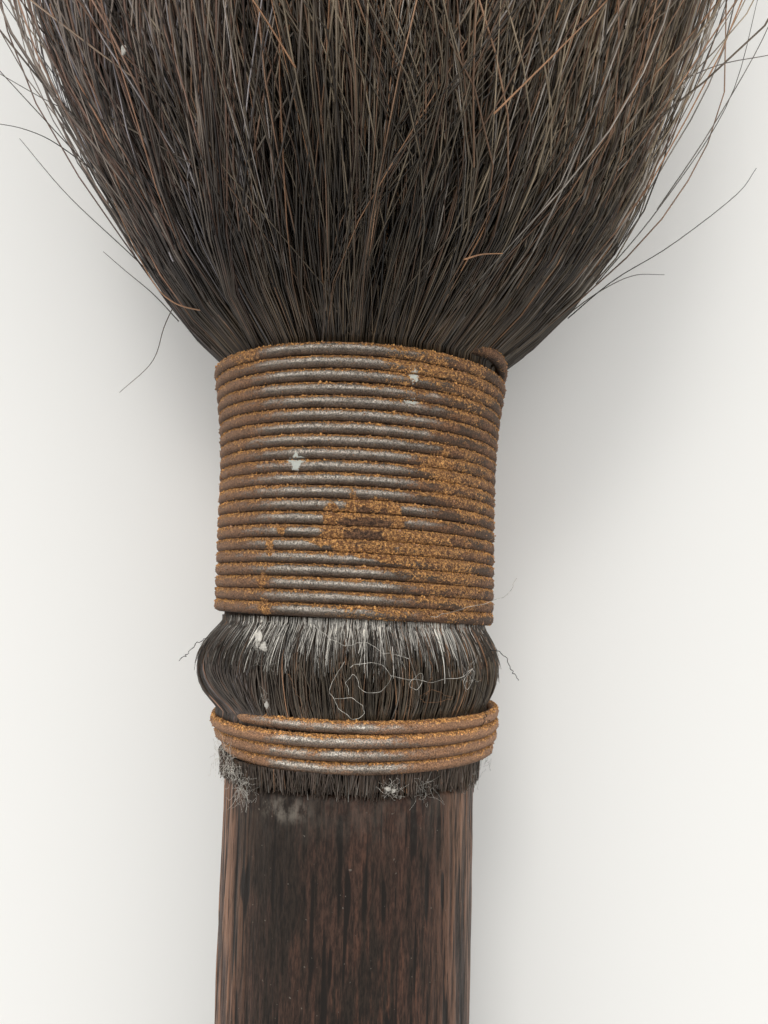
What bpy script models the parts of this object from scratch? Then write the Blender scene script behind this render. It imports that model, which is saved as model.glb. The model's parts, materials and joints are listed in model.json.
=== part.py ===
"""Fly whisk: horse-tail hair bound onto the neck of a round wooden handle by two windings of iron wire.

The pieces are drawn upright in their own frame: Z runs along the handle from the butt to the hair, -Y is
the side that faces up when the whisk lies down, and X is the side. One empty then lays the whisk on its
table, resting on the edge of its butt and on the flat underside of its spread hair. Sizes are in metres.
"""

import math

import bmesh
import bpy
import numpy as np
from mathutils import Vector

MM = 0.001

# Handle: a plain round stick with a narrower neck, which the hair is bound onto
HANDLE_LENGTH = 300.0 * MM
HANDLE_RADIUS = 12.1 * MM
BUTT_RADIUS = 11.2 * MM
BUTT_ROUNDING = 2.6 * MM
SHOULDER_ROUNDING = 0.6 * MM
NECK_RADIUS = 9.0 * MM
HAIR_PAST_NECK = 5.0 * MM
NECK_ROUNDING = 1.5 * MM

# Wire, and the space that touching pieces and turns keep in these solids
WIRE_DIAMETER = 1.1 * MM
WIRE_PITCH = WIRE_DIAMETER + 0.04 * MM
TURN_GAP = 0.43 * MM
SEAT_GAP = 0.3 * MM

# Upper winding: the tight sleeve of wire below the tuft
UPPER_TURNS = 21.5
UPPER_FLARE = 1.2 * MM
UPPER_FLARE_LENGTH = 12.5 * MM
UPPER_END_ANGLE = math.radians(55)

# Lower winding: the narrow band round the cut ends of the hair
LOWER_TURNS = 3.4
LOWER_BOTTOM = 2.1 * MM
LOWER_FRONT_DROP = 0.5 * MM
LOWER_SIDE_RISE = 0.3 * MM
LOWER_END_ANGLE = math.radians(-45)

# Hair held under the wire, counted outwards from the neck
INNER_LAYER_THICKNESS = 1.7 * MM
OUTER_LAYER_THICKNESS = 0.91 * MM
BAND_HAIR_THICKNESS = 3.2 * MM
BULGE_LENGTH = 7.2 * MM
BULGE_SWELL = 1.8 * MM
BULGE_LIFT = 0.6 * MM
FRINGE_SWELL = 0.3 * MM
FRINGE_CURL = 0.2 * MM
SKIRT_LENGTH = 4.0 * MM
SKIRT_THICKNESS = 0.45 * MM
SKIRT_CLEARANCE = 0.4 * MM
SKIRT_LIP = 0.2 * MM

# Free hair: it springs open past the mouth of the binding and then lies along the table
TUFT_LENGTH = 350.0 * MM
TUFT_HALF_WIDTH = 38.0 * MM
TUFT_HEIGHT = 51.0 * MM
TIP_HALF_WIDTH = 21.0 * MM
TIP_HEIGHT = 13.0 * MM
TIP_RAGGEDNESS = 70.0 * MM
SPRING_LENGTH = 14.0 * MM
SPRING_HALF_WIDTH = 26.2 * MM
SPRING_RISE = 24.4 * MM
FULL_LENGTH = 44.0 * MM
TABLE_PRESS = 2.5
STRAND_RADIUS = 0.42 * MM
STRAND_RINGS = 9
STRANDS_A_RING = 6.65
RING_SHIFT = 0.618
BACKING_THICKNESS = 2.4 * MM
BACKING_SWELL = 0.5 * MM
STRAND_ROOT_DEPTH = 1.4 * MM

# How the whisk lies: the axis rises from the butt towards the hair
REST_TILT = math.radians(1.5)

# Steps and points that the shapes are drawn with, and the places that their gaps are measured at
TURNED_STEPS = 44
BACKING_STEPS = 24
BULGE_STEPS = 8
FLARE_STEPS = 5
SKIRT_STEPS = 4
ROUNDING_STEPS = 4
STICK_STEPS = 5
LOOP_POINTS = 13
PLACES_A_SIDE = 6
STRAND_STATIONS = 60
END_TURN = math.radians(9)
HAIR_SEED = 7

# Places along the handle's own axis, worked out from the sizes above
WIRE_TUBE_RADIUS = (WIRE_PITCH - TURN_GAP) / 2
LOWER_START = HANDLE_LENGTH + LOWER_BOTTOM + WIRE_DIAMETER / 2
LOWER_STOP = LOWER_START + LOWER_TURNS * WIRE_PITCH
UPPER_START = LOWER_STOP + BULGE_LENGTH + WIRE_DIAMETER
UPPER_STOP = UPPER_START + UPPER_TURNS * WIRE_PITCH
MOUTH = UPPER_STOP + WIRE_DIAMETER / 2
NECK_END = MOUTH - HAIR_PAST_NECK

# Radii, each from the one inside it: neck, hair, wire. A turn is drawn with straight sides, so its middle
# line comes nearer to the hair between two points than at a point, by the share below
CHORD_SHARE = math.cos(math.pi / LOOP_POINTS)
BORE_RADIUS = NECK_RADIUS + SEAT_GAP
INNER_LAYER_RADIUS = BORE_RADIUS + INNER_LAYER_THICKNESS
SLEEVE_RADIUS = INNER_LAYER_RADIUS + SEAT_GAP + OUTER_LAYER_THICKNESS
UPPER_WIRE_RADIUS = (SLEEVE_RADIUS + SEAT_GAP + WIRE_TUBE_RADIUS) / CHORD_SHARE
BAND_HAIR_RADIUS = BORE_RADIUS + BAND_HAIR_THICKNESS
LOWER_WIRE_RADIUS = (BAND_HAIR_RADIUS + SEAT_GAP + WIRE_TUBE_RADIUS) / CHORD_SHARE
BULGE_RADIUS = BAND_HAIR_RADIUS + BULGE_SWELL
FRINGE_RADIUS = BAND_HAIR_RADIUS + FRINGE_SWELL
SKIRT_RADIUS = BULGE_RADIUS + SKIRT_CLEARANCE + SKIRT_THICKNESS


def upper_wire_radius(z):
    """Distance from the axis to the middle of the wire: straight, then a parabola that opens at the mouth."""
    rise = max(0.0, z - (MOUTH - UPPER_FLARE_LENGTH)) / UPPER_FLARE_LENGTH
    return UPPER_WIRE_RADIUS + UPPER_FLARE * rise ** 2


def bound_hair_radius(z):
    """Outside of the hair under the upper winding: the wire's line less its flats, its tube and the gap."""
    return upper_wire_radius(z) * CHORD_SHARE - WIRE_TUBE_RADIUS - SEAT_GAP


def lower_band_lean(angle):
    """The lower band was pulled down at the front and rides up on one side."""
    return -LOWER_FRONT_DROP * math.cos(angle) + LOWER_SIDE_RISE * math.sin(angle)


def handle_profile():
    """Right-hand outline of the handle, from the top of the neck to the butt, as (radius, height) points."""
    points = [(0.0, NECK_END)]
    points += quarter_round(NECK_RADIUS, NECK_END, NECK_ROUNDING, top=True)
    points += [(NECK_RADIUS, HANDLE_LENGTH)]
    points += quarter_round(HANDLE_RADIUS, HANDLE_LENGTH, SHOULDER_ROUNDING, top=True)
    for step in range(STICK_STEPS - 1, 0, -1):
        share = step / STICK_STEPS
        points.append((stick_radius(share), HANDLE_LENGTH * share))
    points += quarter_round(BUTT_RADIUS, 0.0, BUTT_ROUNDING, top=False)
    points.append((0.0, 0.0))
    return points


def stick_radius(share):
    """Radius of the stick at a share of its length from the butt: fullest at the shoulder."""
    return BUTT_RADIUS + (HANDLE_RADIUS - BUTT_RADIUS) * math.sin(share * math.pi / 2)


def quarter_round(radius, end, rounding, top):
    """A rounded edge between end face and side: from face to side at the top, side to face at the bottom."""
    points = []
    for i in range(ROUNDING_STEPS + 1):
        turn = math.pi / 2 * i / ROUNDING_STEPS
        if top:
            points.append((radius - rounding * (1 - math.sin(turn)), end - rounding * (1 - math.cos(turn))))
        else:
            points.append((radius - rounding * (1 - math.cos(turn)), end + rounding * (1 - math.sin(turn))))
    return points


def inner_layer_profile():
    """The hair that runs under both windings: a cup over the neck, with bulge, band groove and fringe."""
    top = MOUTH - SEAT_GAP
    lean = LOWER_FRONT_DROP + LOWER_SIDE_RISE
    bulge_top = UPPER_START - WIRE_DIAMETER
    groove_top = LOWER_STOP + WIRE_TUBE_RADIUS + lean + SEAT_GAP
    groove_bottom = LOWER_START - WIRE_TUBE_RADIUS - lean
    fringe_end = HANDLE_LENGTH + SEAT_GAP
    points = [(0.0, top), (INNER_LAYER_RADIUS, top), (INNER_LAYER_RADIUS, bulge_top + WIRE_DIAMETER)]
    middle = (bulge_top + groove_top) / 2
    half = (bulge_top - groove_top) / 2
    for i in range(BULGE_STEPS + 1):
        turn = math.pi * i / BULGE_STEPS
        low = INNER_LAYER_RADIUS + BULGE_LIFT if turn < math.pi / 2 else BAND_HAIR_RADIUS
        points.append((low + (BULGE_RADIUS - low) * math.sin(turn), middle + half * math.cos(turn)))
    points += [(BAND_HAIR_RADIUS, groove_bottom)]
    points += [(FRINGE_RADIUS, (groove_bottom + fringe_end) / 2), (FRINGE_RADIUS - FRINGE_CURL, fringe_end)]
    points += [(BORE_RADIUS, fringe_end)]
    neck_end = NECK_END + SEAT_GAP
    points += [(BORE_RADIUS, neck_end), (0.0, neck_end)]
    return points


def outer_layer_profile():
    """The hair that only the upper winding holds: a sleeve whose cut ends stand out over the bulge."""
    top = MOUTH - SEAT_GAP
    bend = UPPER_START - WIRE_DIAMETER / 2
    skirt_end = bend - SKIRT_LENGTH
    points = []
    for i in range(FLARE_STEPS + 1):
        z = top - UPPER_FLARE_LENGTH * i / FLARE_STEPS
        points.append((bound_hair_radius(z), z))
    straight = bound_hair_radius(bend)
    points.append((straight, bend))
    skirt = []
    for i in range(1, SKIRT_STEPS + 1):
        turn = math.pi / 2 * i / SKIRT_STEPS
        swing = (SKIRT_RADIUS - straight) * math.sin(turn)
        skirt.append((straight + swing, bend - SKIRT_LENGTH * (1 - math.cos(turn))))
    points += skirt
    points += [(r - SKIRT_THICKNESS, max(z, skirt_end + SKIRT_LIP)) for r, z in reversed(skirt)]
    inside = INNER_LAYER_RADIUS + SEAT_GAP
    points += [(inside, bend + WIRE_DIAMETER), (inside, top)]
    return points


def turned(name, profile, closed, material, steps=TURNED_STEPS):
    """A turned solid: an outline beside the Z axis, run round it by a Screw modifier."""
    mesh = bpy.data.meshes.new(name)
    count = len(profile)
    edges = [(i, i + 1) for i in range(count - 1)]
    if closed:
        edges.append((count - 1, 0))
    mesh.from_pydata([(r, 0.0, z) for r, z in profile], edges, [])
    obj = bpy.data.objects.new(name, mesh)
    parts.objects.link(obj)
    screw = obj.modifiers.new("Turn", "SCREW")
    screw.axis = "Z"
    screw.angle = 2 * math.pi
    screw.steps = steps
    screw.render_steps = steps
    screw.use_merge_vertices = True
    screw.merge_threshold = 0.00001
    screw.use_smooth_shade = True
    return finished(obj, material)


def winding_points(start, stop, turns, end_angle, radius_at, lean_at, tuck):
    """Middle line of a wound wire from its upper end down, with both ends turned in towards the hair.

    The wire goes down as it passes the front from left to right: the angle grows from -Y towards +X.
    """
    count = round(turns * LOOP_POINTS)
    points = []
    for i in range(count + 1):
        angle = end_angle + 2 * math.pi * turns * i / count
        z = stop + (start - stop) * i / count + lean_at(angle)
        points.append(on_circle(radius_at(z), angle, z))
    slope = (stop - start) / turns * END_TURN / (2 * math.pi)
    first = end_angle - END_TURN
    last = end_angle + 2 * math.pi * turns + END_TURN
    head = [on_circle(radius_at(stop) - depth, first, stop + slope + lean_at(first)) for depth in (tuck, 0.0)]
    tail = [on_circle(radius_at(start) - depth, last, start - slope + lean_at(last)) for depth in (0.0, tuck)]
    return head + points + tail


def on_circle(radius, angle, z):
    """A point at a radius and height, with the angle counted from the front towards +X."""
    return Vector((radius * math.sin(angle), -radius * math.cos(angle), z))


def wound_wire(name, points, material):
    """The wire as one unbroken six-sided tube along its middle line."""
    curve = bpy.data.curves.new(name, "CURVE")
    curve.dimensions = "3D"
    curve.bevel_depth = WIRE_TUBE_RADIUS
    curve.bevel_resolution = 1
    curve.use_fill_caps = True
    spline = curve.splines.new("POLY")
    spline.points.add(len(points) - 1)
    for point, place in zip(spline.points, points):
        point.co = (*place, 1.0)
    obj = bpy.data.objects.new(name, curve)
    parts.objects.link(obj)
    print(f"{name}: least gap between turns {least_gap(points) / MM:.3f} mm")
    return finished(obj, material)


def least_gap(points):
    """Least gap between one turn and another, measured on points placed closely along the middle line."""
    corners = np.array(points)
    shares = np.linspace(0, 1, PLACES_A_SIDE, endpoint=False)[None, :, None]
    line = (corners[:-1, None] * (1 - shares) + corners[1:, None] * shares).reshape(-1, 3)
    along = np.concatenate([[0], np.cumsum(np.linalg.norm(np.diff(line, axis=0), axis=1))])
    apart = np.linalg.norm(line[:, None] - line[None], axis=2)
    apart[np.abs(along[:, None] - along[None]) < math.pi * NECK_RADIUS] = np.inf
    return apart.min() - 2 * WIRE_TUBE_RADIUS


def rest_height():
    """Height of the axis at the butt when the tilted handle touches the table with its lowest edge."""
    return max(r * math.cos(REST_TILT) - z * math.sin(REST_TILT) for r, z in handle_profile())


def tuft_section(distance):
    """Half width of the lying hair at a distance past the mouth, and its top and underside over the table."""
    axis = rest_height() + (MOUTH + distance) * math.sin(REST_TILT)
    if distance <= 0:
        radius = bound_hair_radius(MOUTH) - STRAND_RADIUS
        return radius, axis + radius, axis - radius
    floor = STRAND_RADIUS / 2
    if distance <= SPRING_LENGTH:
        return SPRING_HALF_WIDTH, axis + SPRING_RISE, max(floor, axis - SPRING_HALF_WIDTH)
    if distance <= FULL_LENGTH:
        return TUFT_HALF_WIDTH, TUFT_HEIGHT, floor
    return TIP_HALF_WIDTH, TIP_HEIGHT, floor


def on_section(across, up, distance):
    """A place of the unit disc, carried to the tuft's section at that distance past the mouth.

    The section is an ellipse. Where the hair lies on the table, the lower half is drawn deeper by TABLE_PRESS
    and the table stops it, which leaves a flat underside between round sides.
    """
    half_width, top, underside = tuft_section(distance)
    z = MOUTH + distance
    if up < 0 and distance >= SPRING_LENGTH:
        up *= min(TABLE_PRESS, 1 / math.sqrt(1 - across ** 2))
    height = (top + underside) / 2 + (top - underside) / 2 * up
    depth = (rest_height() + z * math.sin(REST_TILT) - height) / math.cos(REST_TILT)
    return np.array([half_width * across, depth, z])


def strand_line(across, up, ring, end_share):
    """Points of one strand: from its root in the backing, out with the hair's spring, and on to its tip."""
    root = on_section(across, up, 0.0) + [0.0, 0.0, BACKING_THICKNESS - STRAND_ROOT_DEPTH]
    full = on_section(across, up, FULL_LENGTH)
    tip = on_section(across, up, TUFT_LENGTH)
    line = [root]
    if ring == STRAND_RINGS:
        line.append(on_section(across, up, SPRING_LENGTH))
    return np.array(line + [full, full + (tip - full) * end_share])


def all_strand_lines():
    """Strands in rings round one in the middle, each ring turned by its own share of a step."""
    rng = np.random.default_rng(HAIR_SEED)
    lines = []
    for ring in range(STRAND_RINGS + 1):
        count = max(1, round(STRANDS_A_RING * ring))
        share = ring / STRAND_RINGS
        shift = ring * RING_SHIFT % 1
        for k in range(count):
            angle = -math.pi / 2 + 2 * math.pi * (k + shift) / count
            end_share = 1 - rng.random() * TIP_RAGGEDNESS / (TUFT_LENGTH - FULL_LENGTH)
            lines.append(strand_line(share * math.cos(angle), share * math.sin(angle), ring, end_share))
    return lines


def least_strand_gap(lines):
    """Least gap between two strands, from where they leave the backing to where the first of them ends."""
    heights = np.linspace(MOUTH + BACKING_THICKNESS, min(line[-1][2] for line in lines), STRAND_STATIONS)
    places = np.array([[np.interp(heights, line[:, 2], line[:, k]) for k in (0, 1)] for line in lines])
    radii = np.array([np.interp(heights, line[-2:, 2], (STRAND_RADIUS, 0.0)) for line in lines])
    apart = np.linalg.norm(places[:, None] - places[None], axis=2) - radii[:, None] - radii[None]
    apart[np.arange(len(lines)), np.arange(len(lines))] = np.inf
    return apart.min()


def strand_mesh(lines):
    """All strands as three-sided spikes: a flat side down, three corners at each point and a single tip."""
    turns = np.radians([-90, 150, 30])
    corner = np.stack([np.cos(turns), np.sin(turns), np.zeros(3)], axis=1) * STRAND_RADIUS
    verts = []
    faces = []
    for line in lines:
        base = len(verts)
        for place in line[:-1]:
            verts += [tuple(place + c) for c in corner]
        verts.append(tuple(line[-1]))
        rings = len(line) - 1
        faces.append((base, base + 1, base + 2))
        for k in range(rings - 1):
            low = base + 3 * k
            for side in range(3):
                after = (side + 1) % 3
                faces.append((low + side, low + 3 + side, low + 3 + after, low + after))
        last = base + 3 * (rings - 1)
        for side in range(3):
            faces.append((last + side, base + 3 * rings, last + (side + 1) % 3))
    mesh = bpy.data.meshes.new("strands")
    mesh.from_pydata(verts, [], faces)
    return mesh


def tuft(name, material):
    """The free hair: strands in rings, none crossing, joined to a thin slice of their bundle."""
    lines = all_strand_lines()
    mesh = strand_mesh(lines)
    bm = bmesh.new()
    bm.from_mesh(mesh)
    bmesh.ops.recalc_face_normals(bm, faces=bm.faces)
    bm.to_mesh(mesh)
    bm.free()
    strands = bpy.data.objects.new("strands_to_join", mesh)
    guides.objects.link(strands)
    strands.hide_render = True
    strands.display_type = "WIRE"
    strands.parent = frame

    high = MOUTH + BACKING_THICKNESS
    radius = bound_hair_radius(MOUTH)
    outline = [(0.0, high), (radius, high), (radius + BACKING_SWELL, (MOUTH + high) / 2)]
    outline += [(radius, MOUTH), (0.0, MOUTH)]
    slice_of_hair = turned(name, outline, False, material, BACKING_STEPS)
    union = slice_of_hair.modifiers.new("Strands", "BOOLEAN")
    union.operation = "UNION"
    union.solver = "EXACT"
    union.object = strands
    print(f"{name}: {len(lines)} strands, least gap between them {least_strand_gap(lines) / MM:.3f} mm")
    return slice_of_hair


def surface(name, colour, roughness, metallic=0.0):
    """A plain Principled material."""
    material = bpy.data.materials.new(name)
    material.use_nodes = True
    shader = material.node_tree.nodes["Principled BSDF"]
    shader.inputs["Base Color"].default_value = (*colour, 1.0)
    shader.inputs["Roughness"].default_value = roughness
    shader.inputs["Metallic"].default_value = metallic
    material.diffuse_color = (*colour, 1.0)
    return material


def finished(obj, material):
    """Gives a part its material and hangs it on the whisk's own frame."""
    obj.data.materials.append(material)
    obj.parent = frame
    return obj


def centre_on_origin():
    """Moves the whole whisk so that it stands on z = 0 with the middle of its box over the origin."""
    bpy.context.view_layer.update()
    depsgraph = bpy.context.evaluated_depsgraph_get()
    corners = []
    for obj in parts.objects:
        if obj.type == "EMPTY":
            continue
        evaluated = obj.evaluated_get(depsgraph)
        mesh = evaluated.to_mesh()
        places = np.empty(len(mesh.vertices) * 3)
        mesh.vertices.foreach_get("co", places)
        turn = np.array(evaluated.matrix_world)
        corners.append(places.reshape(-1, 3) @ turn[:3, :3].T + turn[:3, 3])
        evaluated.to_mesh_clear()
    places = np.concatenate(corners)
    low = places.min(0)
    high = places.max(0)
    shift = Vector((-(low[0] + high[0]) / 2, -(low[1] + high[1]) / 2, -low[2]))
    frame.location += shift
    print("whisk size, mm:", np.round((high - low) / MM, 2).tolist())
    print("middle of the butt face, mm:", [round(v / MM, 3) for v in frame.location])


for old in list(bpy.data.objects):
    bpy.data.objects.remove(old)

parts = bpy.data.collections.new("fly_whisk")
guides = bpy.data.collections.new("cutters")
bpy.context.scene.collection.children.link(parts)
bpy.context.scene.collection.children.link(guides)

frame = bpy.data.objects.new("whisk_frame", None)
parts.objects.link(frame)
frame.rotation_euler = (-(math.pi / 2 - REST_TILT), 0.0, 0.0)
frame.location = (0.0, -(MOUTH + TUFT_LENGTH) / 2, rest_height())

wood = surface("dark_wood", (0.075, 0.045, 0.032), 0.55)
hair = surface("horse_hair", (0.03, 0.022, 0.018), 0.45)
iron = surface("rusty_iron_wire", (0.2, 0.115, 0.065), 0.6, 0.6)

turned("handle", handle_profile(), False, wood)
turned("inner_hair_layer", inner_layer_profile(), False, hair)
turned("outer_hair_layer", outer_layer_profile(), True, hair)
tuft("hair_tuft", hair)

tuck_depth = WIRE_TUBE_RADIUS + SEAT_GAP / 2
upper_line = winding_points(UPPER_START, UPPER_STOP, UPPER_TURNS, UPPER_END_ANGLE, upper_wire_radius,
                            lambda angle: 0.0, tuck_depth)
wound_wire("upper_wire_winding", upper_line, iron)
lower_line = winding_points(LOWER_START, LOWER_STOP, LOWER_TURNS, LOWER_END_ANGLE,
                            lambda z: LOWER_WIRE_RADIUS, lower_band_lean, tuck_depth)
wound_wire("lower_wire_winding", lower_line, iron)

centre_on_origin()
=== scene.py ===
"""Fly whisk: the looks of every surface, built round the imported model, which is loaded as a fixed frame.

The whisk lies on its table with the handle towards -Y and the hair towards +Y. Shapes are worked out in the
whisk's own frame: "across" is the side, "upward" is square to the handle, "along" runs from the butt to the
hair, and an angle is counted round the handle from the top towards +X. Sizes are in metres.
"""

import json
import math

import bpy
import numpy as np
from bpy.props import FloatProperty, FloatVectorProperty, IntProperty, PointerProperty
from mathutils import Matrix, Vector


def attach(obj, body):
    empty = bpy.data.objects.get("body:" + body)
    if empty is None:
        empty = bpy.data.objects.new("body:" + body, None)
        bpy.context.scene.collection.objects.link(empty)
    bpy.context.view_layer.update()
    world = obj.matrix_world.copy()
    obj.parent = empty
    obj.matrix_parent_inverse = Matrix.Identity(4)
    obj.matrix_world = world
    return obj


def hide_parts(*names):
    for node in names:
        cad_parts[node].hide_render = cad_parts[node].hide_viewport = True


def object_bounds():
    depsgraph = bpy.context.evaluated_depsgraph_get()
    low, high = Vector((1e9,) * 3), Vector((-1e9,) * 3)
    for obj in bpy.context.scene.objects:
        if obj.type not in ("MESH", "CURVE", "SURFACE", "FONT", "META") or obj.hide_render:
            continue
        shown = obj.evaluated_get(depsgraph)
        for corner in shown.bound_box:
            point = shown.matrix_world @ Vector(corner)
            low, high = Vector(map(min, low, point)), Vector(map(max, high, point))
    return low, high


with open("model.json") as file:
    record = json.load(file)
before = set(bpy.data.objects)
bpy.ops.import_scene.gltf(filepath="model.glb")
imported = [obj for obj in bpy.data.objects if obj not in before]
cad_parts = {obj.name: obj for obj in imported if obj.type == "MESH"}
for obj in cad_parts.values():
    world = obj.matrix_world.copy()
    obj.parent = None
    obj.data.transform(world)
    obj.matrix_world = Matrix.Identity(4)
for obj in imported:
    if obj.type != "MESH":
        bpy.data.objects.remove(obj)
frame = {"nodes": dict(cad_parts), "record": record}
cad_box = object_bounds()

bl_info = {
    "name": "Fly whisk",
    "version": (1, 0, 0),
    "blender": (4, 5, 0),
    "location": "View3D > Sidebar > Whisk",
    "description": "Builds a wire-bound horsehair whisk: handle, windings, bound hair, tuft and stage",
    "category": "Object",
}

MM = 0.001
BODY = "root"
BAKE_MAP = "OFBake"

mount = frame["record"]["mounts"][0]
BUTT = np.array(mount["pos_m"])
ALONG = -np.array(mount["axis"]) / np.linalg.norm(mount["axis"])
ACROSS = np.array((1.0, 0.0, 0.0))
UPWARD = np.cross(ACROSS, ALONG)


def node_stations(node):
    """Distances from the handle's axis, and places along it, of all corners of a CAD node."""
    mesh = frame["nodes"][node].data
    places = np.empty(len(mesh.vertices) * 3)
    mesh.vertices.foreach_get("co", places)
    from_butt = places.reshape(-1, 3) - BUTT
    return np.hypot(from_butt @ ACROSS, from_butt @ UPWARD), from_butt @ ALONG


handle_radii, handle_places = node_stations("handle")
GRIP_RADIUS = handle_radii.max()
SHOULDER = handle_places[handle_radii > 0.9 * GRIP_RADIUS].max()
NECK_END = handle_places.max()
MOUTH = node_stations("hair_tuft")[1].min()
TIPS = node_stations("hair_tuft")[1].max()

# Loose hairs may stand a little way out of the model's box, at its sides and its top
SIDE_LIMIT = 1.05 * cad_box[1][0]
TOP_LIMIT = 1.025 * cad_box[1][2]


# Numbers and noise


def ease(t):
    """A step from 0 to 1 with level ends: 3t^2 - 2t^3 of the clamped value."""
    t = np.clip(t, 0.0, 1.0)
    return t * t * (3 - 2 * t)


def hump(x, middle, half):
    """A smooth hump: 1 at the middle, 0 at half a width away and beyond."""
    return ease(1 - np.abs(x - middle) / half)


def round_distance(angle, middle):
    """Distance in radians between angles, the short way round."""
    return np.abs((angle - middle + math.pi) % (2 * math.pi) - math.pi)


def lattice_noise(turn, run, columns, seed, rows=4096):
    """Smooth noise from -1 to 1. Random values sit on a lattice that closes after `columns` cells of one turn and
    runs on by whole rows the other way; between them they are mixed by 3t^2 - 2t^3 in both directions."""
    values = np.random.default_rng(seed).uniform(-1, 1, (columns, rows))
    x = (np.asarray(turn) % 1.0) * columns
    y = np.asarray(run) % rows
    i, j = np.floor(x).astype(int), np.floor(y).astype(int)
    a, b = ease(x - i), ease(y - j)
    i, j, i2, j2 = i % columns, j % rows, (i + 1) % columns, (j + 1) % rows
    near = values[i, j] * (1 - a) + values[i2, j] * a
    far = values[i, j2] * (1 - a) + values[i2, j2] * a
    return near * (1 - b) + far * b


# Places


def to_world(across, upward, along):
    """World places from the whisk's own three directions, counted from the middle of the butt."""
    parts = np.broadcast_arrays(across, upward, along)
    return BUTT + sum(p[..., None] * axis for p, axis in zip(parts, (ACROSS, UPWARD, ALONG)))


def round_axis(radius, angle, along):
    """World places at a radius and an angle round the handle."""
    return to_world(radius * np.sin(angle), radius * np.cos(angle), along)


def outward(angle):
    """The direction that leads away from the handle's axis at an angle round it."""
    angle = np.asarray(angle)
    return np.sin(angle)[..., None] * ACROSS + np.cos(angle)[..., None] * UPWARD


def smooth_line(points, count):
    """A line through the given points, bent by Catmull and Rom's cubic between each two, with `count` points."""
    points = np.asarray(points, float)
    padded = np.concatenate([2 * points[:1] - points[1:2], points, 2 * points[-1:] - points[-2:-1]])
    run = np.linspace(0, len(points) - 1, count)
    i = np.minimum(run.astype(int), len(points) - 2)
    t = (run - i)[:, None]
    a, b, c, d = padded[i], padded[i + 1], padded[i + 2], padded[i + 3]
    return 0.5 * (2 * b + (c - a) * t + (2 * a - 5 * b + 4 * c - d) * t ** 2 + (3 * b - a - 3 * c + d) * t ** 3)


# Meshes


def new_piece(name, places, faces, material, attributes=(), bake_map=None, replaces=()):
    """Puts arrays of corners and faces into one smooth mesh that rides on the whisk.

    faces is a list of index arrays, each with faces of one size; bake_map holds a map place for each face corner.
    """
    places = np.ascontiguousarray(places.reshape(-1, 3), np.float32)
    sizes = np.concatenate([np.full(len(f), f.shape[1]) for f in faces])
    mesh = bpy.data.meshes.new(name)
    mesh.vertices.add(len(places))
    mesh.vertices.foreach_set("co", places.ravel())
    mesh.loops.add(int(sizes.sum()))
    mesh.loops.foreach_set("vertex_index", np.concatenate([f.ravel() for f in faces]).astype(np.int32))
    mesh.polygons.add(len(sizes))
    mesh.polygons.foreach_set("loop_start", np.concatenate([[0], np.cumsum(sizes)[:-1]]).astype(np.int32))
    mesh.polygons.foreach_set("use_smooth", np.ones(len(sizes), bool))
    mesh.update(calc_edges=True)
    for key, values in attributes:
        values = np.ascontiguousarray(values, np.float32)
        is_colour = values.size == 4 * len(places)
        layer = mesh.attributes.new(key, "FLOAT_COLOR" if is_colour else "FLOAT", "POINT")
        layer.data.foreach_set("color" if is_colour else "value", values.ravel())
    if bake_map is not None:
        layer = mesh.uv_layers.new(name=BAKE_MAP)
        layer.uv.foreach_set("vector", np.ascontiguousarray(bake_map, np.float32).ravel())
    mesh.materials.append(material)
    obj = bpy.data.objects.new(name, mesh)
    bpy.context.scene.collection.objects.link(obj)
    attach(obj, BODY)
    if replaces:
        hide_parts(*replaces)
    return obj


def unit(vectors):
    return vectors / np.maximum(np.linalg.norm(vectors, axis=-1, keepdims=True), 1e-12)


def tube_frames(paths, facing):
    """Three directions at each point of each path: ahead, and two square to it, the first of which looks as
    nearly as it can towards `facing`."""
    ahead = unit(np.gradient(paths, axis=1))
    facing = np.broadcast_to(facing, paths.shape)
    first = unit(facing - (facing * ahead).sum(-1, keepdims=True) * ahead)
    return ahead, first, np.cross(ahead, first)


def tubes(paths, radii, sides, facing):
    """Closed tubes along many paths that have as many points each.

    At each point the ring of corners is a circle square to the path. Quads join the rings, and a flat face closes
    each end. Gives corners and faces.
    """
    count, points = paths.shape[:2]
    _, first, second = tube_frames(paths, facing)
    turn = 2 * math.pi * np.arange(sides) / sides
    ring = np.cos(turn)[:, None] * first[:, :, None] + np.sin(turn)[:, None] * second[:, :, None]
    places = paths[:, :, None] + np.broadcast_to(radii, (count, points))[:, :, None, None] * ring
    low = (np.arange(count)[:, None, None] * points + np.arange(points - 1)[:, None]) * sides
    side = np.arange(sides)
    after = (side + 1) % sides
    quads = np.stack([low + side, low + after, low + sides + after, low + sides + side], axis=-1)
    start = np.arange(count)[:, None] * points * sides
    caps = np.concatenate([start + side[::-1], start + (points - 1) * sides + side])
    return places, [quads.reshape(-1, 4), caps]


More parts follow.
